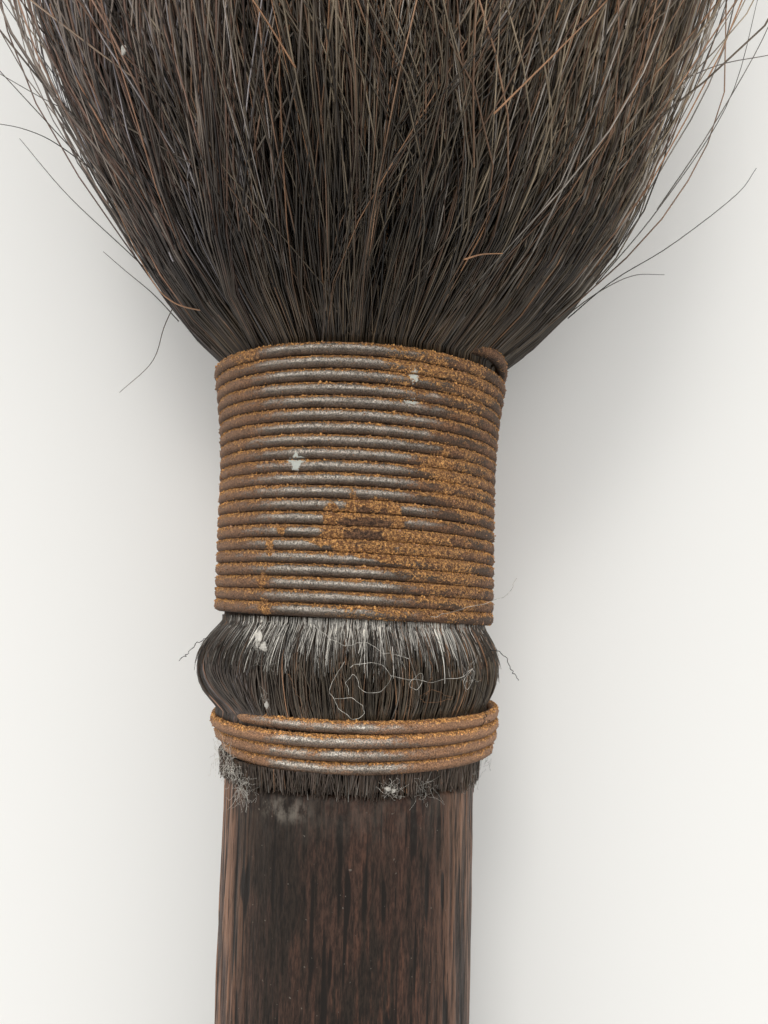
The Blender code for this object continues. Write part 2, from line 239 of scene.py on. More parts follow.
def strip_map(count, segments, sides, a_row, shape=4.0):
    """Bake map for tubes(): each tube is unrolled in strips of `a_row` segments, one strip in each cell of a
    grid, with its end faces as small polygons at the right of the cell."""
    strips = -(-segments // a_row)
    cells = count * strips
    columns = max(1, round(math.sqrt(cells / shape)))
    rows = -(-cells // columns)
    tube, seg, side = np.meshgrid(np.arange(count), np.arange(segments), np.arange(sides), indexing="ij")
    cell = tube * strips + seg // a_row
    corner_side = np.array([0, 1, 1, 0])
    corner_seg = np.array([0, 0, 1, 1])
    u = (cell % columns)[..., None] + 0.03 + 0.87 * ((seg % a_row)[..., None] + corner_seg) / a_row
    v = (cell // columns)[..., None] + 0.1 + 0.8 * (side[..., None] + corner_side) / sides
    quads = np.stack([u / columns, v / rows], axis=-1).reshape(-1, 2)
    turn = 2 * math.pi * np.arange(sides) / sides
    ends = []
    for end, height, spin in ((0, 0.3, -1), (strips - 1, 0.7, 1)):
        cell = np.arange(count)[:, None] * strips + end
        u = (cell % columns + 0.955 + 0.03 * np.cos(turn)) / columns
        v = (cell // columns + height + 0.15 * spin * np.sin(turn)) / rows
        ends.append(np.stack([u, v], axis=-1).reshape(-1, 2))
    return np.concatenate([quads] + ends)


def crumbs(name, centres, normals, sizes, tints, material, rng):
    """Loose grains: each is an octahedron on three square axes, the third along its normal, with each of its six
    corners pushed in or out by chance. Each face has its own cell of the bake map."""
    count = len(centres)
    loose = rng.normal(size=(count, 3))
    first = unit(loose - (loose * normals).sum(-1, keepdims=True) * normals)
    second = np.cross(normals, first)
    reach = sizes[:, None] * rng.uniform(0.7, 1.3, (count, 6))
    axes = np.stack([first, -first, second, -second, normals, -normals], axis=1)
    places = centres[:, None] + reach[..., None] * axes
    shape = np.array([(0, 2, 4), (2, 1, 4), (1, 3, 4), (3, 0, 4), (2, 0, 5), (1, 2, 5), (3, 1, 5), (0, 3, 5)])
    faces = (np.arange(count)[:, None, None] * 6 + shape).reshape(-1, 3)
    columns = math.ceil(math.sqrt(len(faces)))
    cell = np.arange(len(faces))[:, None]
    u = (cell % columns + np.array([0.1, 0.9, 0.1])) / columns
    v = (cell // columns + np.array([0.1, 0.1, 0.9])) / columns
    bake_map = np.stack([u, v], axis=-1).reshape(-1, 2)
    return new_piece(name, places, [faces], material, [("tint", np.repeat(tints, 6, axis=0))], bake_map)


def wrapped_grid(places):
    """Corners and faces of a closed skin from rings of corners, (rings, corners a ring), that go round to the
    right of the way they advance. The first and last ring are each closed by a fan to their middle."""
    rings, columns = places.shape[:2]
    low = np.arange(rings - 1)[:, None] * columns
    side = np.arange(columns)
    after = (side + 1) % columns
    quads = np.stack([low + side, low + after, low + columns + after, low + columns + side], axis=-1)
    poles = np.stack([places[0].mean(0), places[-1].mean(0)])
    count = rings * columns
    first = np.stack([np.full(columns, count), after, side], axis=-1)
    top = (rings - 1) * columns
    last = np.stack([np.full(columns, count + 1), top + side, top + after], axis=-1)
    return np.concatenate([places.reshape(-1, 3), poles]), [quads.reshape(-1, 4), np.concatenate([first, last])]


def with_poles(values):
    """An attribute on the rings of wrapped_grid(), with its values for the two poles."""
    return np.concatenate([values.reshape(-1), [values[0].mean(), values[-1].mean()]])


# Materials


class Finish:
    """A material under construction. node() adds a node, and every value handed to it is a number or a socket."""

    def __init__(self, name, roughness=0.5, metallic=0.0, specular=0.5):
        self.material = bpy.data.materials.new(name)
        self.material.use_nodes = True
        self.tree = self.material.node_tree
        self.shader = self.tree.nodes["Principled BSDF"]
        self.set("Roughness", roughness)
        self.set("Metallic", metallic)
        self.set("Specular IOR Level", specular)

    def node(self, kind, inputs=(), **settings):
        node = self.tree.nodes.new("ShaderNode" + kind)
        for key, value in settings.items():
            setattr(node, key, value)
        for key, value in dict(inputs).items():
            self.join(node.inputs[key], value)
        return node

    def join(self, socket, value):
        if isinstance(value, bpy.types.NodeSocket):
            self.tree.links.new(value, socket)
        else:
            socket.default_value = value

    def set(self, socket, value):
        self.join(self.shader.inputs[socket], value)

    def attribute(self, name, output="Fac"):
        return self.node("Attribute", attribute_name=name).outputs[output]

    def place(self):
        return self.node("TexCoord").outputs["Object"]

    def noise(self, scale, detail=3.0, stretch=(1, 1, 1), roughness=0.55):
        """Noise on object coordinates turned to the handle's own axis; stretch scales across, along, upward."""
        tilt = math.atan2(ALONG[2], ALONG[1])
        turned = self.node("Mapping", {"Vector": self.place(), "Rotation": (-tilt, 0, 0)}).outputs["Vector"]
        drawn = self.node("Mapping", {"Vector": turned, "Scale": stretch}).outputs["Vector"]
        spec = {"Vector": drawn, "Scale": scale, "Detail": detail, "Roughness": roughness}
        return self.node("TexNoise", spec).outputs["Fac"]

    def maths(self, operation, a, b=0.0, c=0.0):
        return self.node("Math", {0: a, 1: b, 2: c}, operation=operation).outputs[0]

    def times(self, a, b):
        return self.maths("MULTIPLY", a, b)

    def shaken(self, value, noise, strength):
        """value + (noise - 0.5) * strength: the value with its edge broken up by noise."""
        return self.maths("ADD", value, self.maths("MULTIPLY_ADD", noise, strength, -0.5 * strength))

    def between(self, value, low, high, to_low=0.0, to_high=1.0):
        """value from low..high to to_low..to_high, clamped and with level ends."""
        spec = {"Value": value, "From Min": low, "From Max": high, "To Min": to_low, "To Max": to_high}
        return self.node("MapRange", spec, interpolation_type="SMOOTHSTEP").outputs[0]

    def mix(self, share, a, b):
        node = self.node("Mix", data_type="RGBA", clamp_factor=True)
        for socket, value in ((node.inputs[0], share), (node.inputs[6], a), (node.inputs[7], b)):
            self.join(socket, (*value, 1.0) if isinstance(value, (tuple, list)) and len(value) == 3 else value)
        return node.outputs[2]

    def lit(self, colour, light):
        """A colour times a number."""
        return self.node("VectorMath", {0: colour, "Scale": light}, operation="SCALE").outputs[0]

    def near(self, centre, half_sizes):
        """1 at a place and falling to 0 at the skin of an ellipsoid round it, in the whisk's own directions."""
        offset = self.node("VectorMath", {0: self.place(), 1: tuple(centre)}, operation="SUBTRACT").outputs[0]
        reach = 0.0
        for axis, half in zip((ACROSS, ALONG, UPWARD), half_sizes):
            spec = {0: offset, 1: tuple(axis / half)}
            part = self.node("VectorMath", spec, operation="DOT_PRODUCT").outputs["Value"]
            reach = self.maths("MULTIPLY_ADD", part, part, reach)
        return self.maths("SUBTRACT", 1.0, self.maths("SQRT", reach))

    def bump(self, height, distance, strength=1.0):
        spec = {"Height": height, "Distance": distance, "Strength": strength}
        self.set("Normal", self.node("Bump", spec).outputs["Normal"])


def colour(value):
    return tuple(value)[:3]


def shade(value, share):
    return tuple(share * c for c in tuple(value)[:3])


def solid(value, brightness=1.0):
    """A colour as four numbers, for a tint."""
    return np.array([*shade(value, brightness), 1.0])


def tinted(name, roughness, specular):
    """A finish whose colour is each piece's own tint, a little uneven from place to place."""
    known = bpy.data.materials.get(name)
    if known:
        return known
    finish = Finish(name, roughness, specular=specular)
    light = finish.between(finish.noise(420, 2, (1, 0.3, 1)), 0.3, 0.7, 0.75, 1.25)
    finish.set("Base Color", finish.lit(finish.attribute("tint", "Color"), light))
    return finish.material


# Sizes and colours that a user would change


def length(name, description, millimetres):
    return FloatProperty(name=name, description=description, default=millimetres * MM, unit="LENGTH", precision=5)


def angle_of(name, description, degrees):
    return FloatProperty(name=name, description=description, default=math.radians(degrees), subtype="ANGLE")


def paint(name, description, value):
    return FloatVectorProperty(name=name, description=description, default=value, subtype="COLOR", min=0, max=1)


class HandleLooks(bpy.types.PropertyGroup):
    butt_radius: length("Butt radius", "Radius of the stick at its butt", 11.2)
    butt_rounding: length("Butt rounding", "Rounding of the butt's edge", 2.6)
    shoulder_rounding: length("Shoulder rounding", "Rounding of the edge below the hair", 0.6)
    neck_radius: length("Neck radius", "Radius of the neck inside the hair", 9.0)
    grain_depth: length("Grain depth", "Height of the grain where the wood is worn", 0.17)
    pore_depth: length("Pore depth", "Depth of the long pores", 0.12)
    dark: paint("Dark wood", "Colour of the dark bands", (0.0190, 0.0125, 0.0085))
    brown: paint("Brown wood", "Colour of the middle bands", (0.0500, 0.0250, 0.0165))
    red: paint("Red wood", "Colour of the warm streaks", (0.0900, 0.0380, 0.0210))
    worn: paint("Worn wood", "Colour of the ridges that are worn bare", (0.3900, 0.2000, 0.1150))
    dust: paint("Dust", "Colour of the dust under the fringe", (0.2200, 0.1900, 0.1550))


class WireLooks(bpy.types.PropertyGroup):
    diameter: length("Wire diameter", "Thickness of the iron wire", 1.1)
    pitch: length("Pitch", "Distance from one turn to the next", 1.14)
    upper_turns: FloatProperty(name="Upper turns", description="Turns of the wide winding", default=21.5)
    upper_radius: length("Upper radius", "From the axis to the middle of the wire, wide winding", 13.25)
    upper_flare: length("Flare", "How far the wide winding opens at the mouth", 1.2)
    flare_length: length("Flare length", "Stretch over which it opens", 12.5)
    upper_end: angle_of("Upper end", "Where the wide winding's end shows, from the top", 62)
    upper_lift: length("Upper end's lift", "How far that end is pushed up from the next turn", 1.15)
    upper_slant: length("Slant", "How much lower the wide winding lies at the right", 0.12)
    lower_turns: FloatProperty(name="Lower turns", description="Turns of the narrow band", default=3.4)
    lower_bottom: length("Band bottom", "From the handle's shoulder to the band", 2.1)
    lower_radius: length("Band radius", "From the axis to the middle of the wire, narrow band", 13.5)
    lower_taper: length("Band taper", "How much tighter the band's lowest turn is", 0.95)
    lower_shift: length("Band shift", "How far the band sits off the axis, to the right", 0.36)
    lower_drop: length("Band drop", "How far the band was pulled down at the top side", 0.55)
    lower_rise: length("Band rise", "How far the band rides up at the right", 0.3)
    lower_end: angle_of("Lower end", "Where the narrow band's end shows, from the top", -43)
    lower_lift: length("Lower end's lift", "How far that end is pushed up from the next turn", 0.15)
    steps: IntProperty(name="Steps", description="Points that one turn is drawn with", default=300)
    sides: IntProperty(name="Sides", description="Sides of the wire", default=14)
    crust: length("Rust crust", "Height of the thickest rust", 0.07)
    ridge: length("Rust ridge", "Height of the rust that fills the groove at the hair side of each turn", 0.125)
    crumb: length("Rust grain", "Half the size of a usual loose grain of rust", 0.045)
    upper_crumbs: IntProperty(name="Upper grains", description="Loose grains, wide winding", default=17500)
    lower_crumbs: IntProperty(name="Lower grains", description="Loose grains, narrow band", default=3600)
    iron: paint("Bare iron", "Colour of the dull wire", (0.2300, 0.1980, 0.1650))
    # painted highlight, with iron that hands rub: the colour of the pale band along each turn
    rubbed: paint("Rubbed iron", "Colour of the wire where hands rub it", (0.7600, 0.6850, 0.5950))
    brown: paint("Brown rust", "Colour of the old rust", (0.2700, 0.1360, 0.0680))
    black: paint("Black rust", "Colour of the smooth old crust", (0.0560, 0.0400, 0.0280))
    orange: paint("Orange rust", "Colour of the loose rust grains", (0.7600, 0.3950, 0.1300))
    red: paint("Red rust", "Colour of the rust under the loose grains", (0.1900, 0.0780, 0.0300))
    tan: paint("Dusty rust", "Colour of the dry rust at the left side", (0.2900, 0.1600, 0.0900))
    deep: paint("Groove", "Colour of the dirt between turns", (0.0160, 0.0075, 0.0035))
    chip: paint("Paint flecks", "Colour of two flecks of old paint", (0.7600, 0.7800, 0.7000))


class HairLooks(bpy.types.PropertyGroup):
    thickness: length("Hair thickness", "Thickness of a single hair", 0.2)
    tuft_count: IntProperty(name="Tuft hairs", description="Hairs in the free tuft", default=9300)
    bulge_count: IntProperty(name="Bulge hairs", description="Hairs between the windings", default=1800)
    cut_count: IntProperty(name="Cut hairs", description="Short hairs under the wide winding", default=3300)
    fringe_count: IntProperty(name="Fringe hairs", description="Cut hairs below the narrow band", default=2400)
    loose_count: IntProperty(name="Loose hairs", description="Hairs that lie across the others", default=2200)
    half_width: length("Half width", "Half width of the opened tuft, near the wire", 30.6)
    widening: length("Widening", "How much wider the tuft grows farther out", 4.8)
    swing_right: length("Swing", "How far the tuft leans to the right soon after the wire", 0.9)
    rise: length("Rise", "Height of the open tuft over the handle's axis", 30.2)
    dark: paint("Dark hair", "Colour of the darkest hairs", (0.0115, 0.0085, 0.0060))
    brown: paint("Brown hair", "Colour of most hairs", (0.0860, 0.0670, 0.0450))
    grey: paint("Grey hair", "Colour of some hairs that catch the light", (0.2300, 0.2020, 0.1720))
    copper: paint("Copper hair", "Colour of a few sunburnt hairs", (0.3700, 0.1950, 0.1000))
    pale: paint("Pale ends", "Colour of cut ends and of lint", (0.5600, 0.5300, 0.4700))


class StageLooks(bpy.types.PropertyGroup):
    floor: paint("Floor", "Colour of the table", (0.9250, 0.9150, 0.8800))
    lamp_power: FloatProperty(name="Lamp power", description="Power of the large lamp", default=15.0, unit="POWER")
    lamp_size: length("Lamp size", "Side of the large lamp", 726.0)
    low_light: FloatProperty(name="Room light", description="Strength of the light from the dim side", default=0.63)
    high_light: FloatProperty(name="Window light", description="Strength of the light from the window", default=1.24)
    backdrop: FloatProperty(name="Backdrop", description="Brightness of the room behind the table", default=0.9)


# The handle


def handle_profile(looks):
    """Rows of the handle from the butt to the top of the neck: radius, place along, and share of the grain."""
    def corner(radius, end, rounding, steps, into):
        turn = np.linspace(0, math.pi / 2, steps)
        if into:
            return radius - rounding * (1 - np.sin(turn)), end + rounding * (1 - np.cos(turn))
        return radius - rounding * (1 - np.cos(turn)), end - rounding * (1 - np.sin(turn))

    butt_disc = looks.butt_radius - looks.butt_rounding
    r0, z0 = corner(looks.butt_radius, 0.0, looks.butt_rounding, 8, True)
    shown = SHOULDER - 32 * MM
    z1 = np.concatenate([np.arange(looks.butt_rounding, shown, 3.2 * MM)[1:],
                         np.arange(shown, SHOULDER - looks.shoulder_rounding, 0.7 * MM)])
    r1 = looks.butt_radius + (GRIP_RADIUS - looks.butt_radius) * np.sin(z1 / SHOULDER * math.pi / 2)
    r2, z2 = corner(GRIP_RADIUS, SHOULDER, looks.shoulder_rounding, 5, False)
    r3, z3 = corner(looks.neck_radius, NECK_END, 1.5 * MM, 4, False)
    radius = np.concatenate([[butt_disc / 3, butt_disc * 2 / 3], r0, r1, r2, [looks.neck_radius], r3])
    along = np.concatenate([[0, 0], z0, z1, z2, [SHOULDER], z3])
    fade = ease(along / (4 * MM)) * (along < SHOULDER - 0.05 * MM)
    return radius, along, fade


class WHISK_OT_handle(bpy.types.Operator):
    """Makes the stick: its turned profile with worn grain ridges and long pores"""
    bl_idname = "whisk.handle"
    bl_label = "Handle"

    columns = 520
    worn_side = math.radians(-74)
    worn_width = math.radians(40)
    ridged_side = math.radians(74)
    ridged_width = math.radians(40)

    def execute(self, context):
        looks = context.scene.whisk_handle
        radius, along, fade = handle_profile(looks)
        angle = 2 * math.pi * np.arange(self.columns) / self.columns
        turn, run = angle[None] / (2 * math.pi), along[:, None] / MM
        worn = hump(round_distance(angle, self.worn_side), 0.0, self.worn_width)[None]
        ridged = hump(round_distance(angle, self.ridged_side), 0.0, self.ridged_width)[None]
        held = 0.42 + 0.58 * ease(1 - (SHOULDER - along[:, None]) / (75 * MM))
        worn = np.clip((worn + ridged) * (0.8 + 0.3 * lattice_noise(turn, run / 30, 14, 5)), 0, 1) * held
        sway = 0.004 * lattice_noise(turn, run / 45, 9, 8)
        fine = lattice_noise(turn + sway, run / 6, 150, 11)
        wide = lattice_noise(turn + sway, run / 19, 60, 12)
        pores = np.clip(lattice_noise(turn + sway, run / 5.5, 260, 13) - 0.4, 0, 1) / 0.6
        relief = (0.14 + 0.86 * worn) * (0.7 * fine + 0.5 * wide)
        height = fade[:, None] * (looks.grain_depth * relief - looks.pore_depth * pores * (0.4 + 0.6 * worn))
        radii = radius[:, None] + height - looks.grain_depth * 0.3 * fade[:, None]
        places = to_world(radii * np.sin(angle), radii * np.cos(angle), along[:, None] + 0 * angle)
        corners, faces = wrapped_grid(places[:, ::-1])
        flip = lambda values: with_poles((values + 0 * radii)[:, ::-1])
        attributes = [("relief", flip(relief)), ("pores", flip(pores)), ("worn", flip(worn)),
                      ("from_shoulder", flip(SHOULDER - along[:, None])), ("facing_up", flip(np.cos(angle)[None]))]
        new_piece("handle_wood", corners, faces, handle_finish(looks), attributes, replaces=["handle"])
        return {"FINISHED"}


def handle_finish(looks):
    """Dark oiled wood: long bands of near-black, brown and red, light where the ridges are worn."""
    finish = Finish("dark_wood", specular=0.22)
    bands = finish.noise(150, 4, (1.0, 0.22, 1.0), 0.6)
    streaks = finish.noise(2100, 4, (1.0, 0.085, 1.0), 0.68)
    cloud = finish.noise(85, 3, (1.0, 0.5, 1.0))
    base = finish.mix(finish.between(finish.shaken(bands, streaks, 0.7), 0.36, 0.64), colour(looks.dark),
                      colour(looks.brown))
    base = finish.mix(finish.times(finish.between(streaks, 0.5, 0.72, 0.0, 0.7), finish.between(cloud, 0.42, 0.6)),
                      base, colour(looks.red))
    base = finish.mix(finish.between(streaks, 0.3, 0.42, 0.6, 0.0), base, shade(looks.dark, 0.6))
    base = finish.lit(base, finish.between(finish.noise(5200, 3, (1, 0.2, 1), 0.7), 0.35, 0.65, 0.6, 1.5))
    worn = finish.times(finish.attribute("worn"), finish.between(finish.attribute("relief"), -0.3, 0.2))
    base = finish.mix(finish.times(worn, finish.between(streaks, 0.36, 0.56, 0.05, 1.0)), base, colour(looks.worn))
    base = finish.mix(finish.between(finish.attribute("pores"), 0.05, 0.4, 0.0, 0.95), base, shade(looks.dark, 0.5))
    speckle = finish.between(finish.noise(800, 5, (1, 0.6, 1), 0.7), 0.42, 0.66)
    near = finish.times(finish.between(finish.attribute("from_shoulder"), 0.0005, 0.006, 0.22, 0.0),
                        finish.between(finish.attribute("facing_up"), 0.2, 0.9))
    patch = finish.near(round_axis(GRIP_RADIUS, math.radians(-26), SHOULDER - 1.5 * MM), (0.0036, 0.0016, 0.004))
    near = finish.maths("MAXIMUM", near, finish.between(patch, 0.0, 0.7))
    base = finish.mix(finish.times(finish.times(speckle, near), 0.6), base, colour(looks.dust))
    specks = finish.between(finish.noise(2600, 1), 0.75, 0.8, 0.0, 0.5)
    base = finish.mix(specks, base, colour(looks.dust))
    finish.set("Base Color", base)
    finish.set("Roughness", finish.between(streaks, 0.3, 0.7, 0.62, 0.42))
    finish.bump(streaks, 0.00014, 0.8)
    return finish.material


# The wire


RUST_PATCHES = (
    # angle in degrees, place over the shoulder in mm, half width in degrees, half height in mm, orange, old core
    (5, 23.0, 15.5, 2.4, 1.7, 1.0),
    (22, 37.2, 17, 2.9, 0.6, 0.0),
    (45, 36.5, 18, 3.5, 0.4, 0.0),
    (34, 28.7, 8, 1.6, 0.9, 0.0),
    (50, 27.5, 18, 3.2, 0.4, 0.0),
    (26, 21.2, 14, 1.7, 0.75, 0.0),
    (42, 18.3, 20, 3.4, 0.4, 0.0),
    (-27, 22.6, 2.6, 0.8, 1.4, 0.0),
    (-32, 21.2, 2.0, 0.8, 1.4, 0.0),
    (-35, 18.4, 2.4, 0.8, 1.4, 0.0),
    (-34, 15.9, 2.6, 0.9, 1.4, 0.0),
    (-44, 38.6, 10, 1.2, 0.6, 0.0),
    (8, 15.6, 16, 0.8, 0.5, 0.0),
    (150, 30, 30, 5, 0.8, 0.5),
    (-130, 22, 26, 4, 0.8, 0.3),
)

PAINT_FLECKS = (
    # angle in degrees, place over the shoulder in mm, half sizes across, along and upward in mm
    (21.3, 36.5, (0.5, 0.85, 1.6)),
    (20.6, 34.2, (0.75, 0.35, 1.6)),
    (-21.8, 28.5, (0.5, 1.0, 1.6)),
    (-21.8, 28.8, (1.0, 0.4, 1.6)),
)


def rust_on(angle, along, section):
    """Shares of brown film, orange grains and old core at places on the wire, all from 0 to 1.

    Brown covers both sides of the whisk and the half of each turn that faces the handle, where it is partly painted
    shade, and fades towards the top, worn bare by hands. Orange grains lie in the patches and along the edge of each
    turn that faces the hair.
    """
    turn = angle / (2 * math.pi)
    place = (along - SHOULDER) / MM
    blotch = lattice_noise(turn, place / 2.2, 26, 21)
    lean = round_distance(angle, math.radians(-6))
    film = ease((lean - math.radians(10) * (1 + 0.6 * blotch)) / math.radians(42))
    ragged = lattice_noise(turn, place / 0.7, 90, 22)
    patches, core = np.zeros_like(film), np.zeros_like(film)
    for middle, up, wide, high, orange, old in RUST_PATCHES:
        far = np.hypot(round_distance(angle, math.radians(middle)) / math.radians(wide), (place - up) / high)
        far = far + 0.3 * ragged + 0.15 * blotch
        patches = np.maximum(patches, 0.85 * orange * ease((1.3 - far) / (0.9 - 0.5 * old)))
        core = np.maximum(core, old * ease((0.92 - far) / 0.3))
    edge = hump(section, math.radians(-60), math.radians(53))
    # the half of each turn that faces the handle: brown film and grains, partly painted shade
    under = hump(section, math.radians(76), math.radians(40))
    scatter = 0.5 + 0.5 * lattice_noise(turn, place / 0.55, 70, 23)
    grains = patches * (1 - 0.9 * core) + edge * (0.75 + 0.3 * scatter) + (0.2 * under + 0.3 * film) * scatter
    film = np.clip(0.1 + 0.85 * film + 0.3 * under + 0.5 * patches + 0.4 * edge, 0, 1)
    return film, np.clip(grains, 0, 1), core


class Winding:
    """One length of wire: a helix from its upper end down. The angle grows evenly and the place along falls
    evenly, with small wanderings. Both ends are tucked in, and the first part of a turn is pushed up."""

    tuck_steps = 14

    def __init__(self, looks, stop, turns, end_angle, lift, lifted_turn, radius_at, lean_at, seed):
        self.looks = looks
        count = round(turns * looks.steps)
        step = np.arange(-self.tuck_steps, count + self.tuck_steps + 1)
        share = step / count
        self.angle = end_angle + 2 * math.pi * turns * share
        turn = self.angle / (2 * math.pi)
        first = ease(1 - np.clip(share * turns, 0, 1) / lifted_turn)
        along = stop - turns * looks.pitch * share + lean_at(self.angle) + lift * first
        along = along + 0.05 * MM * lattice_noise(turn, turn / 3, 6, seed)
        self.along = along + 0.025 * MM * lattice_noise(turn, turn, 11, seed + 1)
        out = np.clip(np.maximum(-step, step - count) / self.tuck_steps, 0, 1)
        wander = 0.05 * MM * lattice_noise(turn, turn / 2, 7, seed + 2)
        self.radius = radius_at(along, self.angle) + wander - 1.9 * MM * out ** 2 - 0.28 * MM * first
        self.path = round_axis(self.radius, self.angle, self.along)
        self.turn = turn

    def on_skin(self, step, section):
        """Places, outward directions and rust on the wire's skin at steps along it and angles round its section."""
        ahead, first, second = (v[0] for v in tube_frames(self.path[None], outward(self.angle)[None]))
        normal = np.cos(section)[..., None] * first[step] + np.sin(section)[..., None] * second[step]
        along = self.along[step] - np.sin(section) * self.looks.diameter / 2
        return self.path[step] + self.looks.diameter / 2 * normal, normal, rust_on(self.angle[step], along, section)

    def wire(self, name, node, extra_film=0.0):
        """The wire's skin: a round section that swells where rust sits."""
        looks = self.looks
        steps = len(self.angle)
        section = 2 * math.pi * np.arange(looks.sides) / looks.sides
        section = np.broadcast_to((section + math.pi) % (2 * math.pi) - math.pi, (steps, looks.sides))
        turn = self.turn[:, None]
        _, _, (film, grains, core) = self.on_skin(np.arange(steps)[:, None], section)
        film = np.clip(film + extra_film * (0.5 + 0.5 * lattice_noise(turn, turn * 7 + section, 60, 31)), 0, 1)
        rough = lattice_noise(turn, turn * 17 + section * 3.2, 260, 24)
        fine = lattice_noise(turn, turn * 23 + section * 5.1, 300, 25)
        crust = looks.crust * (grains * (0.3 + 0.7 * rough) + 0.3 * film * fine + 0.5 * core * (0.5 + 0.5 * rough))
        crust = crust + looks.ridge * hump(section, math.radians(-64), math.radians(48)) * (0.75 + 0.25 * fine)
        inside = np.minimum(np.arange(steps) + 0.4, steps - 0.6 - np.arange(steps))
        round_end = np.sqrt(np.clip(inside / 3, 0, 1))
        corners, faces = tubes(self.path[None], looks.diameter / 2 * round_end[None], looks.sides,
                               outward(self.angle)[None])
        corners = corners[0] + unit(corners[0] - self.path[:, None]) * crust[..., None]
        attributes = [("film", film.ravel()), ("grains", grains.ravel()), ("core", core.ravel()),
                      ("towards_handle", np.sin(section).ravel()),
                      ("dry", (np.maximum(-np.sin(self.angle[:, None]), 4.6 * extra_film) + 0 * section).ravel())]
        bake_map = strip_map(1, steps - 1, looks.sides, looks.steps, shape=1000)
        new_piece(name, corners, faces, wire_finish(looks), attributes, bake_map, [node])

    def grains(self, name, count, rng):
        """Loose grains on the skin: some heaped on the ridge at the hair side, the others crowded where the rust
        is. There are many chances, each kept by the rust's share, and fewer on the underside."""
        looks = self.looks
        tries = count * 6
        step = rng.integers(self.tuck_steps, len(self.angle) - self.tuck_steps, tries)
        heaped = rng.random(tries) < 0.5
        section = np.where(heaped, rng.normal(-0.98, 0.2, tries), rng.uniform(-1.3, 1.3, tries))
        places, normals, (film, grains, core) = self.on_skin(step, section)
        chance = np.where(heaped, 0.55, 0.75 * grains + 0.1 * film + 0.03)
        chance = chance * np.where(np.cos(self.angle[step]) < -0.3, 0.3, 1.0)
        kept = np.flatnonzero(rng.random(tries) < chance)[:count]
        heaped = heaped[kept]
        size = looks.crumb * np.exp(rng.normal(0, 0.33, len(kept))) * np.where(heaped, 1.3, 1.0)
        bright = rng.normal(0.42, 0.3, len(kept)) + 0.35 * (grains[kept] - 0.5) + 0.25 * heaped
        bright = np.clip(bright, 0, 1)[:, None] ** 1.4
        tints = solid(looks.red, 0.7) * (1 - bright) + solid(looks.orange) * bright
        tints = np.where(rng.random((len(kept), 1)) < 0.2, solid(looks.tan, 1.6), tints)
        tints = tints * rng.uniform(0.75, 1.2, (len(kept), 1))
        jitter = rng.uniform(-0.5, 0.5, (len(kept), 1)) * 0.28 * MM * unit(np.cross(normals[kept], ALONG))
        height = np.where(heaped, looks.ridge, 0.4 * looks.crust)[:, None]
        centres = places[kept] + jitter + normals[kept] * height
        crumbs(name, centres, normals[kept], size, tints, tinted("rust_grains", 0.85, 0.3), rng)


